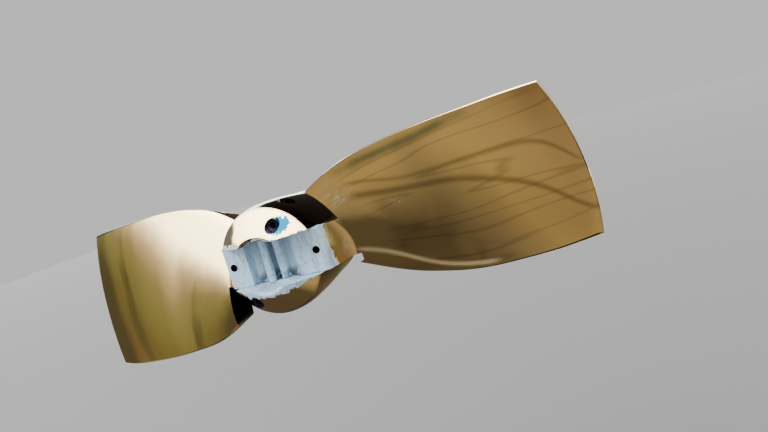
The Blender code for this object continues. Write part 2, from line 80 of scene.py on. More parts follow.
# Blade roots
ROOT_HALF_WIDTH = 14.6
LAND_HEIGHT = 13.6
LAND_START_RIGHT = 0.7
LAND_START_LEFT = 6.6
LAND_END = 25.4
LAND_CORNER = 4.0
LAND_CORNER_TURN = 55.0
LAND_HOLE_RADIUS = 2.6
LAND_HOLE_DEPTH = 6.5
LAND_HOLE_OUT = 18.3
ROOT_END = 46.0
ROOT_DEPTH = 10.0
ROOT_FRONT = 16.0
ROOT_FRONT_OUT = 29.0
NECK_END = 36.0             # where the neck has run into the blade's face, from the pin
NECK_ROUND = 4.0            # how much sooner it has at its two sides
NECK_HOLLOW = 1.9
NECK_SINK = 0.8
TOOTH_COUNT = 7
PITCH_RADIUS = PIN_OFFSET
TIP_CIRCLE = PITCH_RADIUS + 3.2
ROOT_CIRCLE = PITCH_RADIUS - 4.1
MESH_ADVANCE = 6.0
PRESSURE_ANGLE = 25.0
TOOTH_BACKLASH = 0.6
HEEL_CLEARANCE = 1.0
HEEL_GAP = 0.85
ROOT_SOFTNESS = 0.5         # spread of the rounding on the teeth and lands
ROOT_EDGE = 0.4             # rounding along the root's two flat sides
ROOT_STEP = 0.3
ROOT_SLICES = 61
NECK_POINTS = 90
FLANK_POINTS = 12

# Blades
TIP_RADIUS = 203.5
TIP_SWEEP = 7.8
SWEEP_POWER = 3
RELIEF_RADIUS = 36.3
RELIEF_FORWARD = 6.0
CUFF_END = 60.0
BLADE_START = 110.0
FACE_HOLLOW = 0.012
EDGE_FALL = 1.05            # how far the face falls away at the leading edge
FALL_SHARE = 0.42           # over this share of the chord
BACK_FULLNESS = 0.8
NOSE_REACH = 1.2
SMALLEST_NOSE = 0.01        # keeps the nose's formula from dividing by nothing
EDGE_ROUNDING = 0.9
TIP_INSET = 0.1             # keeps the finer tip inside the CAD model's size
SPAN_STEPS = 150
CHORD_STEPS = 90
EDGE_STEPS = 12
TIP_STEPS = 6
HALVINGS = 30               # steps in the search for where the face meets the relief
# radius, trailing edge angle and y, leading edge angle and y, thickness in the middle, at the
# trailing and at the leading edge, depth of the rounded nose; y is from the pins
STATIONS = np.array((
    (30.0, 49.0, -27.5, -30.0, 14.5, 29.0, 25.0, 22.0, 9.0),
    (51.0, 44.8, -21.0, -30.0, 23.5, 28.0, 24.0, 19.0, 8.5),
    (78.0, 38.8, -13.0, -28.6, 33.0, 16.0, 5.0, 7.5, 5.0),
    (104.0, 32.3, -5.5, -25.2, 37.0, 11.0, 2.6, 3.0, 1.6),
    (130.0, 27.3, -1.5, -21.2, 36.7, 7.6, 1.9, 1.9, 0.0),
    (156.0, 23.4, 2.9, -17.1, 36.1, 5.6, 1.9, 1.9, 0.0),
    (180.0, 20.8, 9.5, -14.3, 40.5, 4.2, 1.9, 1.9, 0.0),
    (203.5, 18.6, 19.5, -11.9, 48.9, 3.0, 1.9, 1.9, 0.0),
))

# Pins and lock screws
PIN_RADIUS = 6.0
PIN_CLEARANCE = 0.25
PIN_REACH = 29.0            # middle of the hub to the pin hole's blind end
SCREW_HEIGHT = 23.6
SCREW_HOLE_RADIUS = 4.7
SCREW_HOLE_END_Y = PIN_Y - PIN_RADIUS + 5.0
CUT_MARGIN = 5.0
CUTTER_STEPS = 96

# Meshes
SMOOTH_ANGLE = 32.0
MERGE_DISTANCE = 1e-7       # in metres
SHORTEST_EDGE = 1e-8
BELL_REACH = 3              # rounding weighs the points up to this many spreads away
FACE_SLACK = 0.01           # tolerances of the tests that find the faces of a surface
BORE_SLACK = 0.1
HOLE_SLACK = 0.05
FACING = 0.99               # least part of a normal along Z on the slot's walls
ACROSS_SHAFT = 0.02         # greatest part along the shaft on a blade's inner wall
TOWARDS_HUB = -0.5
INSIDE_RADIUS = 30.0        # front faces within this of the shaft are left unpolished, near-black with oxide and painted shade

# Camera, in the part's frame
CAMERA_PLACE = (232.64, -452.30, 65.98)
CAMERA_TURN = (81.761, 16.438, 19.654)
CAMERA_LENS = 30.47
SENSOR_WIDTH = 36.0

# Marks on the blades and the hub; the dark reflections painted on the right blade are paths of (radius, share
# of the chord), width, strength
PAINTED_REFLECTIONS = (
    (((70.0, 0.13), (95.0, 0.28), (155.0, 0.29), (179.0, 0.30), (193.0, 0.36), (202.0, 0.62)), 1.8, 0.8),
    (((67.0, 0.24), (83.0, 0.33), (129.0, 0.38), (155.0, 0.47), (177.0, 0.58), (205.0, 0.87)), 3.0, 1.0),
    (((61.0, 0.45), (90.0, 0.62), (115.0, 0.75), (155.0, 0.89)), 3.5, 0.45),
    (((140.0, 0.68), (162.0, 0.81), (180.0, 0.91), (200.0, 0.95)), 3.0, 0.45),
    (((75.0, 0.60), (105.0, 0.55), (150.0, 0.70), (203.0, 0.92)), 32.0, 0.50),
)
PATH_SOFTNESS = 9.0
PATH_FADE = 6.0
PAINTED_REFLECTION_STRENGTH = 0.75
REFLECTION_BANDS_ALONG = 1.3           # painted reflection bands: fine dark wavy lines over the right blade, their number along and across it
REFLECTION_BANDS_ACROSS = 7.0
REFLECTION_BANDS_STRENGTH = 0.34
# darkness painted along the blades' rims, standing for a dark reflection
RIM_DARK_REFLECTION = 0.97
# green reflection painted as a strip near the right blade's trailing edge
GREEN_REFLECTION_STRIP = ((73.0, 0.05), (110.0, 0.07), (134.0, 0.06), (160.0, 0.02))
GREEN_REFLECTION_WIDTH = 3.4
# highlight painted as a golden, less metallic band along the right blade's leading edge
PAINTED_HIGHLIGHT_BAND = ((50.8, 0.765), (61.8, 0.781), (72.3, 0.811), (84.9, 0.869), (98.8, 0.923),
               (120.0, 0.950), (140.0, 0.965))
PAINTED_HIGHLIGHT_WIDTH = 1.5
COAT_OVER = 0.6             # the coating's reach past the land's end
COAT_AFT_OF_PIN = 2.0
COAT_PAST_SIDE = 3.0
COAT_FADE = 2.6             # stretch over which its border wanders on the lands
SMEAR_FADE = 9.0            # and the ragged border of its smears on the hub
SMEAR_BELOW = 6.0
SMEAR_ABOVE = 2.2
THREAD_LOCK_PLACE = (18.5, 22.6)
THREAD_LOCK_SIZE = (6.0, 4.6)
# tarnish and painted shade on the hub's barrel, darkest at the top
TARNISH_AND_SHADE_TOP = 0.985
TARNISH_AND_SHADE_BELOW = 0.85
# Scuffed spots of the right blade: radius, share of the chord, reach along and across, strength
SCUFFS = (
    (62.0, 0.20, 9.0, 12.0, 1.0),
    (77.0, 0.49, 5.0, 3.0, 0.9),
    (89.0, 0.41, 4.0, 2.5, 0.8),
    (97.0, 0.45, 2.0, 2.0, 0.8),
)
NECK_SCUFF = 0.9
# Where marks set in and where they are in full, as pairs: radii, heights, places and shares of the chord
REFLECTION_BANDS_RADII = (58.0, 85.0)
REFLECTION_BANDS_AT_LE = (1.0, 0.9)
REFLECTION_BANDS_AT_TE = (0.0, 0.12)
RIM_FADE = (0.9, 0.5)
RIM_RADII = (CUFF_END, CUFF_END + 20.0)
TOOTHED_OUT = (LAND_START_LEFT + 1.5, LAND_START_RIGHT)
# radii of the shade painted into the grooves
GROOVE_SHADE_RADII = (TIP_CIRCLE - 0.8, ROOT_CIRCLE + 0.6)
# heights and radii of the darker patches at the grooves' low ends
LOW_GROOVE_DARK_HEIGHTS = (-5.0, -13.0)
LOW_GROOVE_DARK_RADII = (TIP_CIRCLE, ROOT_CIRCLE + 1.5)
NECK_SCUFF_RADII = (52.0, 44.0)
NECK_SCUFF_OUT = (PIN_OFFSET + LAND_END - 2.0, PIN_OFFSET + LAND_END + 3.0)
DOME_START = (PIN_Y - HUB_EDGE_AFT + 1.0, PIN_Y - HUB_EDGE_AFT - 1.5)
SMEAR_BELOW_START = (-26.0, -17.0)
SMEAR_BELOW_END = (34.0, 4.0)
SMEAR_ABOVE_END = (-2.0, -12.0)
# heights over which the barrel's painted shade deepens
TARNISH_AND_SHADE_HEIGHTS = (-8.0, 6.0)

# Surfaces: how rough they are, and the scales, strengths and thresholds of what varies over them
POLISH_ROUGHNESS = (0.06, 0.11)
SCUFF_ROUGHNESS = 0.36
COATING_ROUGHNESS = 0.5
COATING_GLOSS = 0.15
MACHINED_ROUGHNESS = 0.14
STAINLESS_ROUGHNESS = 0.25
DARK_STEEL_ROUGHNESS = 0.35
POLISH_SCALE = 700.0
WAVE_SCALE = 22.0
WAVE_DETAIL = 3.0
WAVE_HEIGHT = 0.12
GREEN_REFLECTION_PATCHES = (0.3, 0.6)
REFLECTION_BANDS_WIDTH = 0.035
SCUFF_STRENGTH = 0.35
SCUFF_ROUGHENING = 0.5
PAINTED_HIGHLIGHT_PALENESS = 0.8       # share of the metal's mirror that the painted highlight band and the scratches take away
SCRATCH_PALENESS = 0.6
SCRATCH_TURN = (0.0, 0.5, -0.21)
SCRATCH_STRETCH = 0.06
SCRATCH_SCALE = 1500.0
SCRATCH_DETAIL = 2.0
SCRATCH_WIDTH = 0.03
SCRATCH_DEPTH = 0.01
SCRATCH_GAPS_SCALE = 90.0
SCRATCH_GAPS = (0.5, 0.6)
FRAY_DETAIL = 8.0
MASK_EDGE = (0.47, 0.53)
COAT_SCALE = 330.0
COAT_FRAY = 0.9
THREAD_LOCK_SCALE = 420.0
THREAD_LOCK_FRAY = 0.8
SPOT_FIELD = 0.44
SPOT_SCALE = 300.0
SPOT_FRAY = 1.0
SPOT_STRENGTH = 0.85
BRUSH_STRETCH = (520.0, 520.0, 110.0)
BRUSH_MARKS = (0.44, 0.72)
BRUSH_RELIEF = 0.35
FILM_DETAIL = 5.0
FILM_PATCH_SCALE = 210.0
FILM_RELIEF = 0.35
FILM_THICKNESS = 0.1
PATCH_RELIEF = 0.5
# strength of the shade painted into the grooves
GROOVE_SHADE_STRENGTH = 0.7
# patches and strength of the darker low ends of the grooves
LOW_GROOVE_DARK_PATCHES = (0.38, 0.50)
LOW_GROOVE_DARK_STRENGTH = 0.9
CRACK_SCALE = 230.0
CRACK_WIDTH = 0.05
CRACK_PATCHES = (0.5, 0.62)
CRACK_STRENGTH = 0.7
CRACK_DEPTH = 0.3

# Colours, linear
BRONZE = (0.86, 0.62, 0.34)
# dark reflections painted onto the bronze, as streaks and fine bands
BRONZE_DARK_REFLECTION = (0.22, 0.155, 0.085)
# green reflection painted onto the bronze
BRONZE_GREEN_REFLECTION = (0.27, 0.27, 0.19)
# tarnish and painted shade, and the dark reflection painted on the rims
BRONZE_TARNISH_SHADE_REFLECTION = (0.030, 0.018, 0.012)
BRONZE_DULL = (0.60, 0.50, 0.33)
# painted highlight
BRONZE_PAINTED_HIGHLIGHT = (0.46, 0.34, 0.15)
# near-black oxide and painted shade of walls, holes and insides
BRONZE_OXIDE_AND_SHADE = (0.008, 0.005, 0.004)
BRONZE_MACHINED = (0.75, 0.68, 0.45)
SPOT_DARK = (0.03, 0.02, 0.03)
SCRATCH_WHITE = (0.90, 0.88, 0.80)
FILM_PALE = (0.56, 0.75, 0.89)
FILM_MIDDLE = (0.33, 0.46, 0.57)
# shade painted into the coating's grooves
FILM_GROOVE_SHADE = (0.24, 0.34, 0.44)
FILM_DARK = (0.03, 0.045, 0.06)
THREAD_LOCK = (0.0, 0.44, 0.80)
STAINLESS = (0.6, 0.6, 0.6)
DARK_STEEL = (0.02, 0.02, 0.07)

# Stage
FLOOR_HEIGHT = -420.0
FLOOR_HALF = 6000.0
FLOOR_ROUGHNESS = 0.9
FLOOR_GREY = (0.265, 0.255, 0.257)
STUDIO_PALE = (0.665, 0.655, 0.65)
STUDIO_SOFT = (1.15, 1.15, 1.2)
STUDIO_UP = (0.216, 0.229, 0.949)
# elevation in degrees and colour of what the gloss mirrors, from straight down to straight up
SKY_AND_GROUND = (
    (-90.0, (0.11, 0.10, 0.07)),
    (-68.0, (0.11, 0.10, 0.07)),
    (-62.0, (0.27, 0.25, 0.17)),
    (-52.0, (0.52, 0.45, 0.23)),
    (-34.0, (0.44, 0.37, 0.21)),
    (-22.0, (0.33, 0.27, 0.16)),
    (-14.0, (0.21, 0.17, 0.09)),
    (-8.0, (0.23, 0.23, 0.09)),
    (-2.5, (0.30, 0.34, 0.15)),
    (0.8, (0.42, 0.42, 0.24)),
    (3.6, (0.90, 0.84, 0.64)),
    (6.0, (2.2, 2.2, 2.0)),
    (9.5, (6.5, 7.2, 6.4)),
    (90.0, (12.0, 13.0, 12.0)),
)
# flags round the studio, nearly all dark: direction in the part's frame, inner and outer reach in
# degrees, colour
FLAGS = (
    ((0.102, 0.876, 0.470), 33.0, 38.0, (0.085, 0.065, 0.050)),
    ((-0.913, 0.292, 0.284), 10.0, 16.0, (0.22, 0.25, 0.32)),
    ((-0.545, 0.341, -0.765), 28.0, 42.0, (0.10, 0.09, 0.07)),
    ((-0.996, 0.065, -0.067), 8.0, 19.0, (0.10, 0.10, 0.06)),
    ((-0.930, -0.330, 0.170), 1.0, 8.0, (0.13, 0.14, 0.07)),
)
HORIZON_WANDER = 0.05       # how unevenly the ground meets the sky
HORIZON_SCALE = 7.0
HORIZON_DETAIL = 4.0
KEY_PLACE = (-900.0, -1100.0, 1300.0)
KEY_SIZE = 900.0
KEY_POWER = 30.0


def smoothstep(low, high, value):
    share = np.clip((value - low) / (high - low), 0.0, 1.0)
    return share * share * (3 - 2 * share)


def new_mesh(name, points, faces):
    """Mesh in metres from millimetre points; doubles are merged and the faces turned outwards."""
    mesh = bpy.data.meshes.new(name)
    mesh.from_pydata((points * MM).tolist(), [], faces)
    bm = bmesh.new()
    bm.from_mesh(mesh)
    bmesh.ops.remove_doubles(bm, verts=bm.verts, dist=MERGE_DISTANCE)
    bmesh.ops.dissolve_degenerate(bm, edges=bm.edges, dist=SHORTEST_EDGE)
    bmesh.ops.recalc_face_normals(bm, faces=bm.faces)
    bm.to_mesh(mesh)
    bm.free()
    obj = bpy.data.objects.new(name, mesh)
    bpy.context.scene.collection.objects.link(obj)
    crease(obj)
    return obj


def crease(obj):
    """Smooth shading, with sharp edges where the faces turn by more than the smooth angle."""
    obj.data.shade_smooth()
    obj.data.set_sharp_from_angle(angle=math.radians(SMOOTH_ANGLE))


def ring_quads(rings, count):
    """Quads between neighbouring rings of points, which are numbered ring by ring."""
    i, j = np.meshgrid(np.arange(rings - 1), np.arange(count), indexing="ij")
    after = (j + 1) % count
    near, far = i * count, (i + 1) * count
    return np.stack((near + j, near + after, far + after, far + j), -1).reshape(-1, 4).tolist()


def closed_tube(rings, count):
    """The quads between rings of points, and a face over each end."""
    last = (rings - 1) * count
    return ring_quads(rings, count) + [list(range(count)), list(range(last, last + count))]


def soften(values, spread, step):
    """Running mean with bell weights along the first axis, which rounds the corners of an outline."""
    reach = int(BELL_REACH * spread / step)
    offsets = np.arange(-reach, reach + 1)
    weights = np.exp(-0.5 * (offsets * step / spread) ** 2)
    weights /= weights.sum()
    padded = np.concatenate((values[:1].repeat(reach, 0), values, values[-1:].repeat(reach, 0)))
    return sum(w * padded[reach + o:reach + o + len(values)] for w, o in zip(weights, offsets))


def resampled(points, step):
    """The same outline, with points at an even distance along it."""
    lengths = np.concatenate(((0.0,), np.cumsum(np.linalg.norm(np.diff(points, axis=0), axis=1))))
    places = np.linspace(0.0, lengths[-1], max(3, int(lengths[-1] / step)))
    return np.stack([np.interp(places, lengths, column) for column in points.T], -1)


def turned(name, profile):
    """Solid of revolution: each (radius, y) point of the profile is carried round the shaft."""
    turns = 2 * np.pi * (np.arange(HUB_TURN_STEPS) + 0.5) / HUB_TURN_STEPS
    radius, y = profile[:, :1], profile[:, 1:]
    points = np.stack((radius * np.cos(turns), y + 0 * turns, radius * np.sin(turns)), -1)
    return new_mesh(name, points.reshape(-1, 3), closed_tube(len(profile), HUB_TURN_STEPS))


def rod(name, radius, low, high, place=(0.0, 0.0), along="Y"):
    """Cylinder along Y or Z: a circle about the place, carried from low to high."""
    turns = 2 * np.pi * (np.arange(CUTTER_STEPS) + 0.5) / CUTTER_STEPS
    a, b = place[0] + radius * np.cos(turns), place[1] + radius * np.sin(turns)
    ends = []
    for level in (low, high):
        height = np.full(CUTTER_STEPS, level)
        ends.append(np.stack((a, height, b) if along == "Y" else (a, b, height), -1))
    return new_mesh(name, np.concatenate(ends), closed_tube(2, CUTTER_STEPS))


def brick(name, low, high):
    """Box between two corners."""
    corners = np.array([(x, y, z) for z in (low[2], high[2])
                        for y in (low[1], high[1]) for x in (low[0], high[0])])
    faces = [(0, 1, 3, 2), (4, 5, 7, 6), (0, 1, 5, 4), (2, 3, 7, 6), (0, 2, 6, 4), (1, 3, 7, 5)]
    return new_mesh(name, corners, faces)


def combine(obj, helper, operation):
    """Boolean of a piece with a helper, applied, after which the helper goes."""
    modifier = obj.modifiers.new("Boolean", "BOOLEAN")
    modifier.operation = operation
    modifier.solver = "EXACT"
    modifier.object = helper
    evaluated = obj.evaluated_get(bpy.context.evaluated_depsgraph_get())
    mesh = bpy.data.meshes.new_from_object(evaluated)
    obj.modifiers.clear()
    obj.data = mesh
    mesh.name = obj.name
    bpy.data.objects.remove(helper, do_unlink=True)


def hub_profile():
    """Barrel and dome from front to aft as (radius, y), with their turned edges rounded."""
    knots = ((HUB_FRONT_RADIUS, -HUB_FRONT_CHAMFER), (HUB_NECK_RADIUS, PIN_Y + HUB_NECK_FORWARD),
             (HUB_RADIUS, PIN_Y - HUB_WIDEST_AFT), (HUB_EDGE_RADIUS, PIN_Y - HUB_EDGE_AFT))
    share = np.linspace(0.0, 1.0, PROFILE_POINTS)
    front_rim = HUB_FRONT_RADIUS - HUB_FRONT_CHAMFER
    pieces = [np.array(((front_rim - HUB_FRONT_FLAT, 0.0), (front_rim, 0.0)))]
    for (r_a, y_a), (r_b, y_b) in zip(knots, knots[1:]):
        ease = np.sin(share * np.pi / 2) if r_b > r_a else 1 - np.cos(share * np.pi / 2)
        pieces.append(np.stack((r_a + (r_b - r_a) * ease, y_a + (y_b - y_a) * share), -1))
    rim = ACCESS_RIM_RADIUS + DOME_RIM_FLAT
    drop = (1 - DOME_BULGE) * share + DOME_BULGE * np.sin(share * np.pi / 2)
    dome_y = PIN_Y - HUB_EDGE_AFT - (DOME_RIM_AFT - HUB_EDGE_AFT) * drop
    pieces.append(np.stack((HUB_EDGE_RADIUS + (rim - HUB_EDGE_RADIUS) * share, dome_y), -1))
    line = resampled(np.concatenate(pieces), PROFILE_STEP)
    return np.concatenate((line[:1], soften(line, PROFILE_SOFTNESS, PROFILE_STEP)[1:-1], line[-1:]))


def make_hub():
    """Turned barrel with its access bore, slot, bores, pin holes and screw holes cut out."""
    hub = turned("hub_casting", hub_profile())
    rim_y = PIN_Y - DOME_RIM_AFT
    aft = rim_y - CUT_MARGIN
    side = HUB_RADIUS + CUT_MARGIN
    access = np.array((
        (ACCESS_BORE_RADIUS, rim_y + ACCESS_BORE_DEPTH),
        (ACCESS_BORE_RADIUS, rim_y + ACCESS_BORE_CHAMFER),
        (ACCESS_RIM_RADIUS + CUT_MARGIN, aft),
    ))
    combine(hub, turned("access_bore", access), "DIFFERENCE")
    slot = brick("slot", (-side, aft, -SLOT_WIDTH / 2), (side, SLOT_FLOOR_Y, SLOT_WIDTH / 2))
    combine(hub, slot, "DIFFERENCE")
    web_aft = SLOT_FLOOR_Y + BOLT_RECESS_DEPTH
    web_front = web_aft + BOLT_WEB
    bores = (
        ("bolt_recess", BOLT_RECESS_RADIUS, SLOT_FLOOR_Y - CUT_MARGIN, web_aft),
        ("bolt_hole", BOLT_HOLE_RADIUS, web_aft - CUT_MARGIN, web_front + CUT_MARGIN),
        ("sleeve_bore", SLEEVE_BORE_RADIUS, web_front, CUT_MARGIN),
    )
    for name, radius, low, high in bores:
        combine(hub, rod(name, radius, low, high), "DIFFERENCE")
    for sign in (1.0, -1.0):
        ends = sorted((-sign * PIN_REACH, sign * side))
        pin_hole = rod("pin_hole", PIN_RADIUS + PIN_CLEARANCE, *ends, (sign * PIN_OFFSET, PIN_Y), "Z")
        combine(hub, pin_hole, "DIFFERENCE")
        place = (sign * PIN_OFFSET, sign * SCREW_HEIGHT)
        screw_hole = rod("screw_hole", SCREW_HOLE_RADIUS, aft, SCREW_HOLE_END_Y, place)
        combine(hub, screw_hole, "DIFFERENCE")
    crease(hub)
    return hub


def along_stations(radius, column):
    """Cubic through the values of one column of the stations, with slopes from their neighbours."""
    knots, values = STATIONS[:, 0], STATIONS[:, column]
    index = np.arange(len(knots))
    before, after = np.maximum(index - 1, 0), np.minimum(index + 1, len(knots) - 1)
    slopes = (values[after] - values[before]) / (knots[after] - knots[before])
    k = np.clip(np.searchsorted(knots, radius, side="right") - 1, 0, len(knots) - 2)
    width = knots[k + 1] - knots[k]
    t = (radius - knots[k]) / width
    rise = 3 * t**2 - 2 * t**3
    tangents = (t**3 - 2 * t**2 + t) * slopes[k] * width + (t**3 - t**2) * slopes[k + 1] * width
    return (1 - rise) * values[k] + rise * values[k + 1] + tangents


def blade_surface(radius, u, height):
    """Points of the right blade, as arrays.

    u goes from the trailing to the leading edge and height from the face, 0, to the back, 1. A
    section lies on a cylinder about the shaft: its straight line, plus the stand-off of face and
    back along the shaft in the cuff and square to the line further out, plus the rounded nose.
    """
    columns = [along_stations(radius, column) for column in range(1, STATIONS.shape[1])]
    te_angle, te_y, le_angle, le_y, middle, te_edge, le_edge, nose = columns
    width = np.radians(te_angle - le_angle) * radius
    chord = np.hypot(width, le_y - te_y)
    bulge = np.sin(np.pi * np.clip(u, 0.0, 1.0))
    back = te_edge + (le_edge - te_edge) * u + (middle - (te_edge + le_edge) / 2) * bulge**BACK_FULLNESS
    past_cuff = smoothstep(CUFF_END, BLADE_START, radius)
    fall = EDGE_FALL * np.clip((u - 1 + FALL_SHARE) / FALL_SHARE, 0.0, 1.0) ** 2 * past_cuff
    offset = (1 - height) * (FACE_HOLLOW * chord * bulge + fall) + height * back
    into = np.clip(1 - (1 - u) * chord / np.maximum(nose * NOSE_REACH, SMALLEST_NOSE), 0.0, 1.0)
    rounding = (1 - height) * np.maximum(nose, 0.0) * (1 - np.sqrt(1 - into**2))
    lean = np.arctan2(le_y - te_y, width) * past_cuff
    angle = np.radians(te_angle + (le_angle - te_angle) * u) + offset * np.sin(lean) / radius
    y = PIN_Y + te_y + (le_y - te_y) * u + offset * np.cos(lean) + rounding
    swept = radius + TIP_SWEEP * (u - 0.5) * (radius / TIP_RADIUS) ** SWEEP_POWER
    return np.stack((swept * np.cos(angle), y, swept * np.sin(angle)), -1)


def face_y(x, z):
    """The blade's face over places in the cuff, where the thickness runs along the shaft."""
    radius = np.hypot(x, z)
    te_angle, le_angle = along_stations(radius, 1), along_stations(radius, 3)
    u = (te_angle - np.degrees(np.arctan2(z, x))) / (te_angle - le_angle)
    return blade_surface(radius, u, 0.0 * u)[..., 1]


def inner_radius(u):
    """Radius at which the face meets the relief cylinder, found by halving the stretch it lies in."""
    low, high = np.full(u.shape, STATIONS[0, 0]), np.full(u.shape, STATIONS[2, 0])
    for _ in range(HALVINGS):
        middle = (low + high) / 2
        point = blade_surface(middle, u, 0.0 * u)
        out, forward = point[..., 0] - PIN_OFFSET, point[..., 1] - PIN_Y - RELIEF_FORWARD
        inside = np.hypot(out, forward) < RELIEF_RADIUS
        low, high = np.where(inside, middle, low), np.where(inside, high, middle)
    return high


def section_loop():
    """Way round a section: share of the chord, height, and how far the edge's rounding is in force."""
    spread = (1 - np.cos(np.pi * np.arange(CHORD_STEPS + 1) / CHORD_STEPS)) / 2
    across = np.sin(np.pi / 2 * np.linspace(-1.0, 1.0, EDGE_STEPS + 1))[1:-1]
    share = np.concatenate((spread, np.ones(len(across)), spread[::-1], np.zeros(len(across))))
    height = np.concatenate((0 * spread, (across + 1) / 2, 0 * spread + 1, (1 - across) / 2))
    side = np.concatenate((0 * spread, across, 0 * spread, across[::-1]))
    return share, height, side


def blade_skin(name):
    """Blade from its inner wall to its rounded tip, a closed loop carried along the span.

    At each radius the loop's chord share is drawn in at both edges by the rounding e, and across
    the thickness it swells back to the edge as (1 - |w|^n)^(1/n), w from -1 on the face to 1 on
    the back and n the thickness over e.
    """
    share, height, side = section_loop()
    ends = np.concatenate((np.linspace(0.0, 1.0, SPAN_STEPS + 1), np.ones(TIP_STEPS)))
    closing = np.concatenate((np.zeros(SPAN_STEPS + 1), np.linspace(0.0, 1.0, TIP_STEPS + 1)[1:]))
    start = inner_radius(share)[None, :]
    tip = TIP_RADIUS - TIP_INSET - EDGE_ROUNDING
    radius = start + (tip - start) * ends[:, None] + EDGE_ROUNDING * np.sin(closing * np.pi / 2)[:, None]
    width = np.radians(along_stations(radius, 1) - along_stations(radius, 3)) * radius
    chord = np.hypot(width, along_stations(radius, 4) - along_stations(radius, 2))
    thickness = np.where(share > 0.5, along_stations(radius, 7), along_stations(radius, 6))
    power = np.maximum(2.0, thickness / EDGE_ROUNDING)
    on_edge = (height > 0) & (height < 1)
    swell = np.where(on_edge, (1 - np.abs(side) ** power) ** (1 / power), 0.0)
    drawn = EDGE_ROUNDING / chord
    u = np.where(share > 0.5, 1 - drawn * (1 - swell), drawn * (1 - swell))
    u = np.where(on_edge, u, drawn + (1 - 2 * drawn) * share)
    flat = 0.5 + (height - 0.5) * np.cos(closing * np.pi / 2)[:, None]
    points = blade_surface(radius, u, flat).reshape(-1, 3)
    rings, count = radius.shape
    le_back = CHORD_STEPS + EDGE_STEPS
    te_back = le_back + CHORD_STEPS
    wall = [[k, k + 1, te_back - k - 1, te_back - k] for k in range(CHORD_STEPS)]
    le_cap = list(range(CHORD_STEPS, le_back + 1))
    te_cap = [*range(te_back, count), 0]
    return new_mesh(name, points, ring_quads(rings, count) + wall + [le_cap, te_cap])


def arc(centre, radius, start, end):
    """Points on an arc in the plan, angles in degrees."""
    count = max(2, int(abs(math.radians(end - start)) * radius / ROOT_STEP) + 2)
    turns = np.radians(np.linspace(start, end, count))
    return np.stack((centre[0] + radius * np.cos(turns), centre[1] + radius * np.sin(turns)), -1)


def tooth(centre_angle):
    """Outline of one involute tooth round the right pin, in the direction of rising angle."""
    base = PITCH_RADIUS * math.cos(math.radians(PRESSURE_ANGLE))
    radius = np.linspace(max(base, ROOT_CIRCLE), TIP_CIRCLE, FLANK_POINTS)
    unwound = np.arccos(np.minimum(1.0, base / np.append(radius, PITCH_RADIUS)))
    involute = np.tan(unwound) - unwound
    half = math.pi / TOOTH_COUNT / 2 - TOOTH_BACKLASH / 2 / PITCH_RADIUS + involute[-1] - involute[:-1]
    if ROOT_CIRCLE < base:
        radius, half = np.append(ROOT_CIRCLE, radius), np.append(half[0], half)
    turns = np.concatenate((centre_angle - half, (centre_angle + half)[::-1]))
    radii = np.concatenate((radius, radius[::-1]))
    return np.stack((PIN_OFFSET + radii * np.cos(turns), PIN_Y + radii * np.sin(turns)), -1)


def root_plan(first_tooth, land_start):
    """Outline of the right root in the plan, from its front corner round the teeth to the land's corner."""
    centre = (PIN_OFFSET, PIN_Y)
    pitch = 360.0 / TOOTH_COUNT
    land_y = PIN_Y - LAND_HEIGHT
    heel_end = first_tooth - HEEL_GAP * pitch
    groove_end = 270.0 + math.degrees(math.asin(land_start / ROOT_CIRCLE))
    groove_start = min(first_tooth + 1.5 * pitch, groove_end - 1.0)
    corner = (PIN_OFFSET + LAND_END - LAND_CORNER, land_y + LAND_CORNER)
    pieces = [np.array(((PIN_OFFSET + ROOT_FRONT_OUT, PIN_Y + ROOT_FRONT),)),
              arc(centre, PITCH_RADIUS - HEEL_CLEARANCE, 90.0, heel_end),
              arc(centre, ROOT_CIRCLE, heel_end, first_tooth - pitch / 2),
              tooth(math.radians(first_tooth)), tooth(math.radians(first_tooth + pitch)),
              arc(centre, ROOT_CIRCLE, groove_start, groove_end),
              np.array(((PIN_OFFSET + land_start, land_y),)),
              arc(corner, LAND_CORNER, -90.0, -90.0 + LAND_CORNER_TURN)]
    line = resampled(np.concatenate(pieces), ROOT_STEP)
    return np.concatenate((line[:1], soften(line, ROOT_SOFTNESS, ROOT_STEP)[1:]))


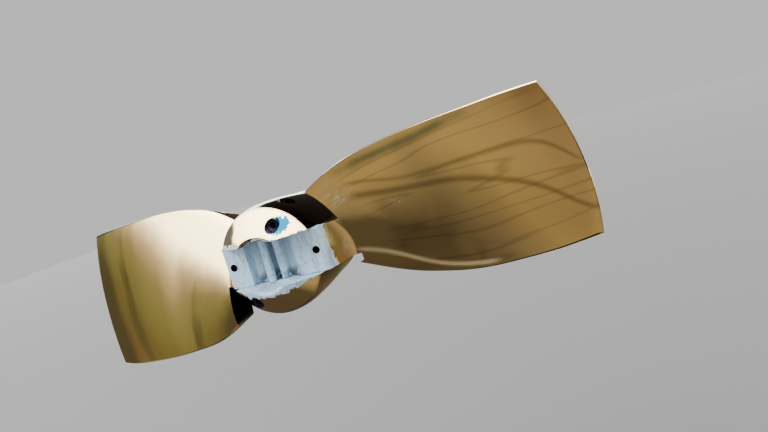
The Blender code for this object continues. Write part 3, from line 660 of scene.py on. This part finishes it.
def root_block(name, first_tooth, land_start):
    """Root: its plan carried across the slot; its neck sinks from the land to the slanting face.

    Towards the two flat sides the outline draws in by e (1 - (1 - |w|^n)^(1/n)), w across the slot.
    """
    plan = root_plan(first_tooth, land_start)
    power = ROOT_HALF_WIDTH / ROOT_EDGE
    w = np.sin(np.pi / 2 * np.linspace(-1.0, 1.0, ROOT_SLICES))
    z = ROOT_HALF_WIDTH * w
    share = np.linspace(0.0, 1.0, NECK_POINTS)[1:, None]
    start = plan[-1]
    x = start[0] + (PIN_OFFSET + ROOT_END - start[0]) * share
    drop = face_y(start[0] + 0 * z, z) - start[1]
    neck_end = PIN_OFFSET + NECK_END - NECK_ROUND * w**2
    to_face = np.clip((neck_end - x) / (neck_end - start[0]), 0.0, 1.0)
    neck_y = face_y(x + 0 * z, z + 0 * x) + NECK_SINK * share - drop * to_face**NECK_HOLLOW
    end = face_y(np.full(z.shape, PIN_OFFSET + ROOT_END), z) + ROOT_DEPTH
    slices = []
    for k, height in enumerate(z):
        line = np.concatenate((plan, np.stack((x[:, 0], neck_y[:, k]), -1)))
        forward = np.roll(line, -1, 0) - np.roll(line, 1, 0)
        forward[0], forward[-1] = line[1] - line[0], line[-1] - line[-2]
        inward = np.stack((-forward[:, 1], forward[:, 0]), -1) / np.linalg.norm(forward, axis=1)[:, None]
        line = line + ROOT_EDGE * (1 - (1 - abs(w[k]) ** power) ** (1 / power)) * inward
        outline = np.concatenate((((PIN_OFFSET + ROOT_END, end[k]),), line))
        slices.append(np.column_stack((outline, np.full(len(outline), height))))
    return new_mesh(name, np.concatenate(slices), closed_tube(len(slices), len(slices[0])))


def turn_left(obj):
    """Turn a right-hand piece half round the shaft, which gives its left-hand partner."""
    obj.data.transform(Matrix.Rotation(math.pi, 4, "Y"))


def make_blade(name, first_tooth, land_start, left):
    """Blade with its toothed root; the left one is the right one turned half round the shaft."""
    root = root_block("root", first_tooth, land_start)
    bore = rod("bore", PIN_RADIUS + PIN_CLEARANCE, -SLOT_WIDTH, SLOT_WIDTH, (PIN_OFFSET, PIN_Y), "Z")
    combine(root, bore, "DIFFERENCE")
    land_y = PIN_Y - LAND_HEIGHT
    place = (PIN_OFFSET + LAND_HOLE_OUT, 0.0)
    hole = rod("hole", LAND_HOLE_RADIUS, land_y - CUT_MARGIN, land_y + LAND_HOLE_DEPTH, place)
    combine(root, hole, "DIFFERENCE")
    blade = blade_skin(name)
    combine(blade, root, "UNION")
    if left:
        turn_left(blade)
    crease(blade)
    return blade


def right_hand(mesh, left):
    """Points of a mesh in millimetres, the left blade's turned back to the right one's place."""
    points = np.empty(len(mesh.vertices) * 3)
    mesh.vertices.foreach_get("co", points)
    points = points.reshape(-1, 3) / MM
    return points * np.array((-1.0, 1.0, -1.0)) if left else points


def paint(mesh, name, values):
    """Write one value a point, which the materials read by this name."""
    mesh.attributes.new(name, "FLOAT", "POINT").data.foreach_set("value", np.clip(values, 0.0, 1.0))


def near_path(radius, across, path, chord, width):
    """How close each point of a blade lies to a path of (radius, share of chord) points, 1 on it."""
    knots = np.array(path)
    start, end = knots[0, 0], knots[-1, 0]
    places = np.arange(start, end)
    along = np.interp(radius, places, soften(np.interp(places, *knots.T), PATH_SOFTNESS, 1.0))
    inside = smoothstep(start - PATH_FADE, start + PATH_FADE, radius)
    inside = inside * smoothstep(end + PATH_FADE, end - PATH_FADE, radius)
    return inside * np.exp(-((across - along) * chord / width) ** 2)


def paint_root(mesh, x, y, low):
    """Where a root is coated, where shade is painted into its grooves and where their low ends are darker;
    low is the height across the slot.
    """
    depth = np.minimum(PIN_OFFSET + LAND_END + COAT_OVER - x, PIN_Y - y - COAT_AFT_OF_PIN)
    depth = np.minimum(depth, ROOT_HALF_WIDTH + COAT_PAST_SIDE - np.abs(low))
    paint(mesh, "coat", 0.5 + depth / COAT_FADE)
    from_pin = np.hypot(x - PIN_OFFSET, y - PIN_Y)
    toothed = smoothstep(*TOOTHED_OUT, x - PIN_OFFSET)
    # shade painted into the grooves between the teeth
    paint(mesh, "groove", toothed * smoothstep(*GROOVE_SHADE_RADII, from_pin))
    # darker patches towards the grooves' low ends
    paint(mesh, "grime", toothed * smoothstep(*LOW_GROOVE_DARK_HEIGHTS, low) * smoothstep(*LOW_GROOVE_DARK_RADII, from_pin))


def paint_blade(blade, left):
    """Where the coating, the scuffs and the scuffed neck of a blade lie, and where dark and green
    reflections, reflection bands, a highlight and a dark rim are painted on it.
    """
    mesh = blade.data
    x, y, z = right_hand(mesh, left).T
    paint_root(mesh, x, y, -z if left else z)
    radius = np.clip(np.hypot(x, z), STATIONS[0, 0], TIP_RADIUS)
    te_angle, le_angle = along_stations(radius, 1), along_stations(radius, 3)
    across = (te_angle - np.degrees(np.arctan2(z, x))) / (te_angle - le_angle)
    chord = np.radians(te_angle - le_angle) * radius
    to_tip = TIP_RADIUS + TIP_SWEEP * (across - 0.5) - radius
    to_edge = np.minimum(np.minimum(across, 1 - across) * chord, to_tip)
    # darkness painted along the rim as a dark reflection
    paint(mesh, "rim", smoothstep(*RIM_FADE, to_edge) * smoothstep(*RIM_RADII, radius))
    paint(mesh, "along", radius / TIP_RADIUS)
    paint(mesh, "across", across)
    streak, green, rubbed, painted_bands, scuff = (0.0 * x for _ in range(5))
    if not left:
        # dark reflections painted as streaks, on the right blade only
        for path, width, strength in PAINTED_REFLECTIONS:
            streak = np.maximum(streak, strength * near_path(radius, across, path, chord, width))
        for place, share, along, aside, strength in SCUFFS:
            spot = np.exp(-((radius - place) / along) ** 2 - ((across - share) * chord / aside) ** 2)
            scuff = np.maximum(scuff, strength * spot)
        # green reflection painted near the trailing edge
        green = near_path(radius, across, GREEN_REFLECTION_STRIP, chord, GREEN_REFLECTION_WIDTH)
        # highlight painted along the leading edge
        rubbed = near_path(radius, across, PAINTED_HIGHLIGHT_BAND, chord, PAINTED_HIGHLIGHT_WIDTH)
        # fine dark reflection bands painted away from the root and the edges
        painted_bands = smoothstep(*REFLECTION_BANDS_RADII, radius) * smoothstep(*REFLECTION_BANDS_AT_LE, across)
        painted_bands = painted_bands * smoothstep(*REFLECTION_BANDS_AT_TE, across)
    neck = smoothstep(*NECK_SCUFF_RADII, radius) * smoothstep(*NECK_SCUFF_OUT, x)
    scuff = np.maximum(scuff, NECK_SCUFF * neck)
    marks = {"streak": streak, "green": green, "rubbed": rubbed, "grain": painted_bands, "scuff": scuff}
    for name, values in marks.items():
        paint(mesh, name, values)


def paint_hub(hub):
    """Where the coating's smears, the thread lock, and the tarnish and painted shade on the hub's barrel lie.
    """
    mesh = hub.data
    x, y, z = right_hand(mesh, False).T
    domed = smoothstep(*DOME_START, y)
    reach_below = SMEAR_BELOW * smoothstep(*SMEAR_BELOW_START, x) * smoothstep(*SMEAR_BELOW_END, x)
    reach_above = SMEAR_ABOVE * smoothstep(*SMEAR_ABOVE_END, x)
    reach = np.where(z < 0, reach_below, reach_above)
    smeared = domed * (0.5 + (reach - np.abs(z) + SLOT_WIDTH / 2) / SMEAR_FADE)
    in_bore = np.hypot(x, z) < ACCESS_RIM_RADIUS + BORE_SLACK
    paint(mesh, "coat", np.where(in_bore, 1.0 * (z < 0), smeared))
    # tarnish and painted shade on the barrel, darkest at the top
    blackened = TARNISH_AND_SHADE_BELOW + (TARNISH_AND_SHADE_TOP - TARNISH_AND_SHADE_BELOW) * smoothstep(*TARNISH_AND_SHADE_HEIGHTS, z)
    paint(mesh, "tarnish", blackened * (1 - domed))
    out, up = THREAD_LOCK_PLACE
    spot = np.hypot((x - out) / THREAD_LOCK_SIZE[0], (z - up) / THREAD_LOCK_SIZE[1])
    paint(mesh, "thread_lock", domed * (1.0 - 0.5 * spot))


def put(tree, socket, value):
    """Give a socket a number, a colour or another node's output."""
    if isinstance(value, bpy.types.NodeSocket):
        tree.links.new(value, socket)
    elif isinstance(value, tuple) and len(value) < len(socket.default_value):
        socket.default_value = (*value, 1.0)
    else:
        socket.default_value = value


def add_node(tree, kind, inputs=None, **settings):
    """New shader node with its settings and its inputs by name or number."""
    made = tree.nodes.new("ShaderNode" + kind)
    for key, value in settings.items():
        setattr(made, key, value)
    for key, value in (inputs or {}).items():
        put(tree, made.inputs[key], value)
    return made


def blend(tree, share, low, high, colour=True):
    """Mix of two colours, or of two numbers, by a share from 0 to 1."""
    made = add_node(tree, "Mix", data_type="RGBA" if colour else "FLOAT")
    first = 6 if colour else 2
    for index, value in ((0, share), (first, low), (first + 1, high)):
        put(tree, made.inputs[index], value)
    return made.outputs[2 if colour else 0]


def maths(tree, operation, first, second=0.0, third=0.0):
    return add_node(tree, "Math", {0: first, 1: second, 2: third}, operation=operation).outputs[0]


def times(tree, first, second):
    return maths(tree, "MULTIPLY", first, second)


def between(tree, value, low, high):
    """Smooth rise from 0 to 1 while the value goes from low to high."""
    inputs = {"Value": value, "From Min": low, "From Max": high}
    return add_node(tree, "MapRange", inputs, interpolation_type="SMOOTHSTEP").outputs["Result"]


def noise(tree, place, scale, detail=4.0):
    return add_node(tree, "TexNoise", {"Vector": place, "Scale": scale, "Detail": detail}).outputs["Fac"]


def stretched(tree, place, scale, turn=(0.0, 0.0, 0.0)):
    """Place turned, then scaled by axis."""
    turned_place = add_node(tree, "Mapping", {"Vector": place, "Rotation": turn}).outputs[0]
    return add_node(tree, "Mapping", {"Vector": turned_place, "Scale": scale}).outputs[0]


def effect(name, inputs, outputs):
    """Empty node group with its sockets, and the nodes at its two ends."""
    group = bpy.data.node_groups.new(name, "ShaderNodeTree")
    for way, sockets in (("INPUT", inputs), ("OUTPUT", outputs)):
        for label, kind in sockets:
            group.interface.new_socket(label, in_out=way, socket_type="NodeSocket" + kind)
    return group, group.nodes.new("NodeGroupInput").outputs, group.nodes.new("NodeGroupOutput").inputs


def use(tree, group, **inputs):
    """Place a shared effect in a material and return its outputs."""
    made = add_node(tree, "Group", node_tree=group)
    for key, value in inputs.items():
        put(tree, made.inputs[key], value)
    return made.outputs


def ragged_mask():
    """A painted field of 0 to 1 cut at one half, its border frayed by noise."""
    inputs = (("Place", "Vector"), ("Field", "Float"), ("Scale", "Float"), ("Fray", "Float"))
    group, given, result = effect("ragged_mask", inputs, (("Mask", "Float"),))
    wander = maths(group, "SUBTRACT", noise(group, given["Place"], given["Scale"], FRAY_DETAIL), 0.5)
    frayed = maths(group, "MULTIPLY_ADD", wander, given["Fray"], given["Field"])
    group.links.new(between(group, frayed, *MASK_EDGE), result["Mask"])
    return group


def fine_scratches():
    """Thin straight scratches along one turned direction, 0 to 1."""
    inputs = (("Place", "Vector"), ("Scale", "Float"), ("Width", "Float"))
    group, given, result = effect("fine_scratches", inputs, (("Mask", "Float"),))
    drawn_out = stretched(group, given["Place"], (SCRATCH_STRETCH, 1.0, 1.0))
    lines = noise(group, drawn_out, given["Scale"], SCRATCH_DETAIL)
    from_middle = maths(group, "ABSOLUTE", maths(group, "SUBTRACT", lines, 0.5))
    share = maths(group, "MINIMUM", maths(group, "DIVIDE", from_middle, given["Width"]), 1.0)
    thin = maths(group, "SUBTRACT", 1.0, share)
    broken = between(group, noise(group, given["Place"], SCRATCH_GAPS_SCALE), *SCRATCH_GAPS)
    group.links.new(times(group, thin, broken), result["Mask"])
    return group


def paint_film():
    """Pale blue-grey coating brushed along the pins, streaked, cracked and worn thin, with shade painted into
    its grooves and darker patches at their low ends.
    """
    inputs = (("Place", "Vector"), ("Groove", "Float"), ("Grime", "Float"))
    group, given, result = effect("paint_film", inputs, (("Color", "Color"), ("Height", "Float")))
    brushed = noise(group, stretched(group, given["Place"], BRUSH_STRETCH), 1.0, FILM_DETAIL)
    patches = noise(group, given["Place"], FILM_PATCH_SCALE, FILM_DETAIL)
    inputs = {"Vector": given["Place"], "Scale": CRACK_SCALE}
    to_border = add_node(group, "TexVoronoi", inputs, feature="DISTANCE_TO_EDGE").outputs[0]
    crack = between(group, to_border, CRACK_WIDTH, 0.0)
    cracked = times(group, crack, between(group, patches, *CRACK_PATCHES))
    colour = blend(group, between(group, brushed, *BRUSH_MARKS), FILM_PALE, FILM_MIDDLE)
    # shade painted into the grooves
    colour = blend(group, times(group, given["Groove"], GROOVE_SHADE_STRENGTH), colour, FILM_GROOVE_SHADE)
    # darker patches at the grooves' low ends
    grime = times(group, given["Grime"], between(group, patches, *LOW_GROOVE_DARK_PATCHES))
    colour = blend(group, times(group, grime, LOW_GROOVE_DARK_STRENGTH), colour, FILM_DARK)
    colour = blend(group, times(group, cracked, CRACK_STRENGTH), colour, FILM_DARK)
    group.links.new(colour, result["Color"])
    height = maths(group, "ADD", times(group, brushed, BRUSH_RELIEF), times(group, patches, PATCH_RELIEF))
    height = maths(group, "SUBTRACT", height, times(group, cracked, CRACK_DEPTH))
    group.links.new(height, result["Height"])
    return group


def attribute(tree, name):
    return add_node(tree, "Attribute", attribute_name=name).outputs["Fac"]


def object_place(tree):
    return add_node(tree, "TexCoord").outputs["Object"]


def new_material(name, colour, roughness, metallic):
    """Plain material, with its node tree and its shader."""
    mat = bpy.data.materials.new(name)
    mat.use_nodes = True
    shader = mat.node_tree.nodes["Principled BSDF"]
    put(mat.node_tree, shader.inputs["Base Color"], colour)
    put(mat.node_tree, shader.inputs["Roughness"], roughness)
    put(mat.node_tree, shader.inputs["Metallic"], metallic)
    return mat, mat.node_tree, shader


def aged_colour(tree, wide):
    """Colour of the bronze with its painted dark and green reflections and reflection bands, the dark
    reflection painted on its rims, and the hub's tarnish and painted shade.
    """
    # dark reflections painted as streaks
    streak = times(tree, attribute(tree, "streak"), PAINTED_REFLECTION_STRENGTH)
    colour = blend(tree, streak, BRONZE, BRONZE_DARK_REFLECTION)
    # green reflection painted in patches along its strip
    green = times(tree, attribute(tree, "green"), between(tree, wide, *GREEN_REFLECTION_PATCHES))
    colour = blend(tree, green, colour, BRONZE_GREEN_REFLECTION)
    # fine dark reflection bands painted along the right blade
    along = times(tree, attribute(tree, "along"), REFLECTION_BANDS_ALONG)
    across = times(tree, attribute(tree, "across"), REFLECTION_BANDS_ACROSS)
    spread = add_node(tree, "CombineXYZ", {0: along, 1: across}).outputs[0]
    level = maths(tree, "ABSOLUTE", maths(tree, "SUBTRACT", noise(tree, spread, 1.0, 1.0), 0.5))
    grain = times(tree, between(tree, level, REFLECTION_BANDS_WIDTH, 0.0), attribute(tree, "grain"))
    colour = blend(tree, times(tree, grain, REFLECTION_BANDS_STRENGTH), colour, BRONZE_DARK_REFLECTION)
    # dark reflection painted along the rims, joined with the hub's tarnish and painted shade
    rim = times(tree, attribute(tree, "rim"), RIM_DARK_REFLECTION)
    darkened = maths(tree, "MAXIMUM", attribute(tree, "tarnish"), rim)
    return blend(tree, darkened, colour, BRONZE_TARNISH_SHADE_REFLECTION)


def polished_bronze(name, ragged, scratches, film):
    """Cast bronze, polished: painted fields say where it is coated, tarnished or scuffed, and where shade,
    reflections and a highlight are painted on it.
    """
    mat, tree, shader = new_material(name, BRONZE, POLISH_ROUGHNESS[1], 1.0)
    shader.inputs["Specular IOR Level"].default_value = COATING_GLOSS
    place = object_place(tree)
    wide, fine = [noise(tree, place, scale, WAVE_DETAIL) for scale in (WAVE_SCALE, POLISH_SCALE)]
    scuff, rubbed = attribute(tree, "scuff"), attribute(tree, "rubbed")
    turned_place = stretched(tree, place, (1.0, 1.0, 1.0), SCRATCH_TURN)
    marks = use(tree, scratches, Place=turned_place, Scale=SCRATCH_SCALE, Width=SCRATCH_WIDTH)["Mask"]
    marks = times(tree, marks, scuff)
    thread_lock = use(tree, ragged, Place=place, Field=attribute(tree, "thread_lock"),
                      Scale=THREAD_LOCK_SCALE, Fray=THREAD_LOCK_FRAY)["Mask"]
    coat = use(tree, ragged, Place=place, Field=attribute(tree, "coat"),
               Scale=COAT_SCALE, Fray=COAT_FRAY)["Mask"]
    coating = use(tree, film, Place=place, Groove=attribute(tree, "groove"), Grime=attribute(tree, "grime"))

    # highlight painted as a band along the leading edge
    colour = blend(tree, rubbed, aged_colour(tree, wide), BRONZE_PAINTED_HIGHLIGHT)
    colour = blend(tree, times(tree, scuff, SCUFF_STRENGTH), colour, BRONZE_DULL)
    colour = blend(tree, marks, colour, SCRATCH_WHITE)
    colour = blend(tree, thread_lock, colour, THREAD_LOCK)
    colour = blend(tree, coat, colour, coating["Color"])
    put(tree, shader.inputs["Base Color"], colour)

    bare = maths(tree, "SUBTRACT", 1.0, maths(tree, "MAXIMUM", coat, thread_lock))
    # the metal is paler where it is scratched and where the highlight is painted
    worn = maths(tree, "MAXIMUM", times(tree, marks, SCRATCH_PALENESS), times(tree, rubbed, PAINTED_HIGHLIGHT_PALENESS))
    put(tree, shader.inputs["Metallic"], times(tree, bare, maths(tree, "SUBTRACT", 1.0, worn)))
    rough = blend(tree, fine, *POLISH_ROUGHNESS, colour=False)
    rough = blend(tree, times(tree, scuff, SCUFF_ROUGHENING), rough, SCUFF_ROUGHNESS, colour=False)
    rough = blend(tree, bare, COATING_ROUGHNESS, rough, colour=False)
    put(tree, shader.inputs["Roughness"], rough)

    raised = maths(tree, "MULTIPLY_ADD", coating["Height"], FILM_RELIEF, FILM_THICKNESS)
    height = maths(tree, "MULTIPLY_ADD", coat, raised, times(tree, wide, WAVE_HEIGHT))
    height = maths(tree, "MULTIPLY_ADD", marks, -SCRATCH_DEPTH, height)
    bump = add_node(tree, "Bump", {"Height": height, "Distance": MM, "Strength": 1.0})
    put(tree, shader.inputs["Normal"], bump.outputs[0])
    return mat


def coated_wall(name, film):
    """Bronze hidden all over under the pale coating."""
    mat, tree, shader = new_material(name, FILM_PALE, COATING_ROUGHNESS, 0.0)
    shader.inputs["Specular IOR Level"].default_value = COATING_GLOSS
    coating = use(tree, film, Place=object_place(tree), Groove=0.0, Grime=0.0)
    put(tree, shader.inputs["Base Color"], coating["Color"])
    return mat


def spotted_bronze(name, colour, ragged):
    """Bronze left as machined, duller and darker, with spots of dirt; given a near-black colour it stands for
    oxide and painted shade.
    """
    mat, tree, shader = new_material(name, colour, MACHINED_ROUGHNESS, 1.0)
    spots = use(tree, ragged, Place=object_place(tree), Field=SPOT_FIELD, Scale=SPOT_SCALE, Fray=SPOT_FRAY)
    spotted = blend(tree, times(tree, spots["Mask"], SPOT_STRENGTH), colour, SPOT_DARK)
    put(tree, shader.inputs["Base Color"], spotted)
    return mat


def dress(obj, *materials):
    obj.data.materials.clear()
    for mat in materials:
        obj.data.materials.append(mat)


def face_values(mesh):
    """Middles in millimetres and normals of a mesh's faces."""
    middles, normals = np.empty(len(mesh.polygons) * 3), np.empty(len(mesh.polygons) * 3)
    mesh.polygons.foreach_get("center", middles)
    mesh.polygons.foreach_get("normal", normals)
    return middles.reshape(-1, 3) / MM, normals.reshape(-1, 3)


def hub_surfaces(mesh):
    """Faces of the slot's coated low wall, then the insides, near-black with oxide and painted shade, then
    the access bore's upper part.
    """
    middles, normals = face_values(mesh)
    from_shaft = np.hypot(middles[:, 0], middles[:, 2])
    low_wall = (np.abs(middles[:, 2] + SLOT_WIDTH / 2) < FACE_SLACK) & (normals[:, 2] > FACING)
    high_wall = (np.abs(middles[:, 2] - SLOT_WIDTH / 2) < FACE_SLACK) & (normals[:, 2] < -FACING)
    in_front = (middles[:, 1] > SLOT_FLOOR_Y - FACE_SLACK) & (from_shaft < INSIDE_RADIUS)
    in_access_bore = (from_shaft < ACCESS_RIM_RADIUS) & (middles[:, 2] > 0)
    return low_wall, high_wall | in_front, in_access_bore


def blade_surfaces(mesh, left):
    """Faces of a blade that stay unpolished, near-black with oxide and painted shade: the walls beside its
    root and the land's hole.
    """
    middles, normals = face_values(mesh)
    side = -1.0 if left else 1.0
    facing_hub = (np.abs(normals[:, 1]) < ACROSS_SHAFT) & (side * normals[:, 0] < TOWARDS_HUB)
    inner_wall = facing_hub & (np.abs(middles[:, 2]) > ROOT_HALF_WIDTH)
    from_hole = np.hypot(side * middles[:, 0] - PIN_OFFSET - LAND_HOLE_OUT, middles[:, 2])
    return (from_hole < LAND_HOLE_RADIUS + HOLE_SLACK) | inner_wall


def share_out(obj, *tests):
    """Give the faces under each test the second, third and later material; the first test wins."""
    index = np.zeros(len(obj.data.polygons), dtype=np.int32)
    for number, faces in reversed(list(enumerate(tests, 1))):
        index[faces] = number
    obj.data.polygons.foreach_set("material_index", index)


def vector_maths(tree, operation, first, second):
    return add_node(tree, "VectorMath", {0: first, 1: second}, operation=operation).outputs


def make_world():
    """Plain studio: pale to the camera, soft all round, and for gloss a bright sky over brown ground."""
    world = bpy.data.worlds.new("studio")
    world.use_nodes = True
    bpy.context.scene.world = world
    tree = world.node_tree
    tree.nodes.clear()
    straight = add_node(tree, "TexCoord").outputs["Generated"]
    inputs = {"Vector": straight, "Scale": HORIZON_SCALE, "Detail": HORIZON_DETAIL}
    uneven = add_node(tree, "TexNoise", inputs).outputs["Color"]
    off = vector_maths(tree, "SUBTRACT", uneven, (0.5, 0.5, 0.5))[0]
    off = add_node(tree, "VectorMath", {0: off, "Scale": HORIZON_WANDER}, operation="SCALE").outputs[0]
    direction = vector_maths(tree, "ADD", straight, off)[0]
    rise = vector_maths(tree, "DOT_PRODUCT", direction, STUDIO_UP)["Value"]
    share = add_node(tree, "MapRange", {"Value": rise, "From Min": -1.0}).outputs["Result"]
    ramp = add_node(tree, "ValToRGB", {"Fac": share})
    elements = ramp.color_ramp.elements
    while len(elements) < len(SKY_AND_GROUND):
        elements.new(0.5)
    for element, (elevation, colour) in zip(elements, SKY_AND_GROUND):
        element.position = (1 + math.sin(math.radians(elevation))) / 2
        element.color = (*colour, 1.0)
    gloss = ramp.outputs[0]
    for towards, inner, outer, colour in FLAGS:
        near = vector_maths(tree, "DOT_PRODUCT", direction, towards)["Value"]
        inside = between(tree, near, math.cos(math.radians(outer)), math.cos(math.radians(inner)))
        gloss = blend(tree, inside, gloss, colour)
    soft, mirrored, pale = [add_node(tree, "Background", {"Color": colour}).outputs[0]
                            for colour in (STUDIO_SOFT, gloss, STUDIO_PALE)]
    path = add_node(tree, "LightPath").outputs
    unseen = add_node(tree, "MixShader", {0: path["Is Glossy Ray"], 1: soft, 2: mirrored}).outputs[0]
    surface = add_node(tree, "MixShader", {0: path["Is Camera Ray"], 1: unseen, 2: pale}).outputs[0]
    add_node(tree, "OutputWorld", {"Surface": surface})


def make_floor():
    """Plain square floor below the part."""
    corners = np.array([(x * FLOOR_HALF, y * FLOOR_HALF, FLOOR_HEIGHT)
                        for x, y in ((-1, -1), (1, -1), (1, 1), (-1, 1))])
    floor = new_mesh("floor", corners, [(0, 1, 2, 3)])
    dress(floor, new_material("floor_grey", FLOOR_GREY, FLOOR_ROUGHNESS, 0.0)[0])
    floor.visible_glossy = False


def make_lamp():
    """Soft light that looks at the part."""
    key = bpy.data.lights.new("key", "AREA")
    key.energy = KEY_POWER
    key.size = KEY_SIZE * MM
    lamp = bpy.data.objects.new("key", key)
    lamp.location = [v * MM for v in KEY_PLACE]
    lamp.rotation_euler = (-lamp.location).to_track_quat("-Z", "Y").to_euler()
    lamp.visible_glossy = False
    bpy.context.scene.collection.objects.link(lamp)


def make_camera():
    """Camera at the photograph's angle."""
    camera = bpy.data.cameras.new("camera")
    camera.lens = CAMERA_LENS
    camera.sensor_width = SENSOR_WIDTH
    eye = bpy.data.objects.new("camera", camera)
    eye.location = [v * MM for v in CAMERA_PLACE]
    eye.rotation_euler = [math.radians(v) for v in CAMERA_TURN]
    bpy.context.scene.collection.objects.link(eye)
    bpy.context.scene.camera = eye


make_world()
make_floor()
make_lamp()
make_camera()
ragged, scratches, film = ragged_mask(), fine_scratches(), paint_film()
bronze = polished_bronze("polished_bronze", ragged, scratches, film)
# near-black bronze: oxide and painted shade on walls, holes and insides
oxide_and_shade_bronze = spotted_bronze("oxide_and_shade_bronze", BRONZE_OXIDE_AND_SHADE, ragged)
bore_bronze = spotted_bronze("machined_bronze", BRONZE_MACHINED, ragged)
coated_bronze = coated_wall("coated_bronze", film)
steel = new_material("stainless_steel", STAINLESS, STAINLESS_ROUGHNESS, 1.0)[0]
dark_steel = new_material("dark_steel", DARK_STEEL, DARK_STEEL_ROUGHNESS, 1.0)[0]

hub = make_hub()
paint_hub(hub)
dress(hub, bronze, coated_bronze, oxide_and_shade_bronze, bore_bronze)
share_out(hub, *hub_surfaces(hub.data))
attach(hub, "hub")
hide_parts("hub")
left_tooth = 180.0 + MESH_ADVANCE
right_tooth = left_tooth - 180.0 / TOOTH_COUNT
for node, first_tooth, land_start, left in (("blade_right", right_tooth, LAND_START_RIGHT, False),
                                            ("blade_left", left_tooth, LAND_START_LEFT, True)):
    blade = make_blade(node + "_casting", first_tooth, land_start, left)
    paint_blade(blade, left)
    dress(blade, bronze, oxide_and_shade_bronze)
    share_out(blade, blade_surfaces(blade.data, left))
    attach(blade, node)
    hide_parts(node)
for node in ("pivot_pin_right", "pivot_pin_left", "shaft_bolt", "bolt_washer", "spline_sleeve"):
    dress(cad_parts[node], steel)
for node in ("lock_screw_right", "lock_screw_left"):
    dress(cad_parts[node], dark_steel)
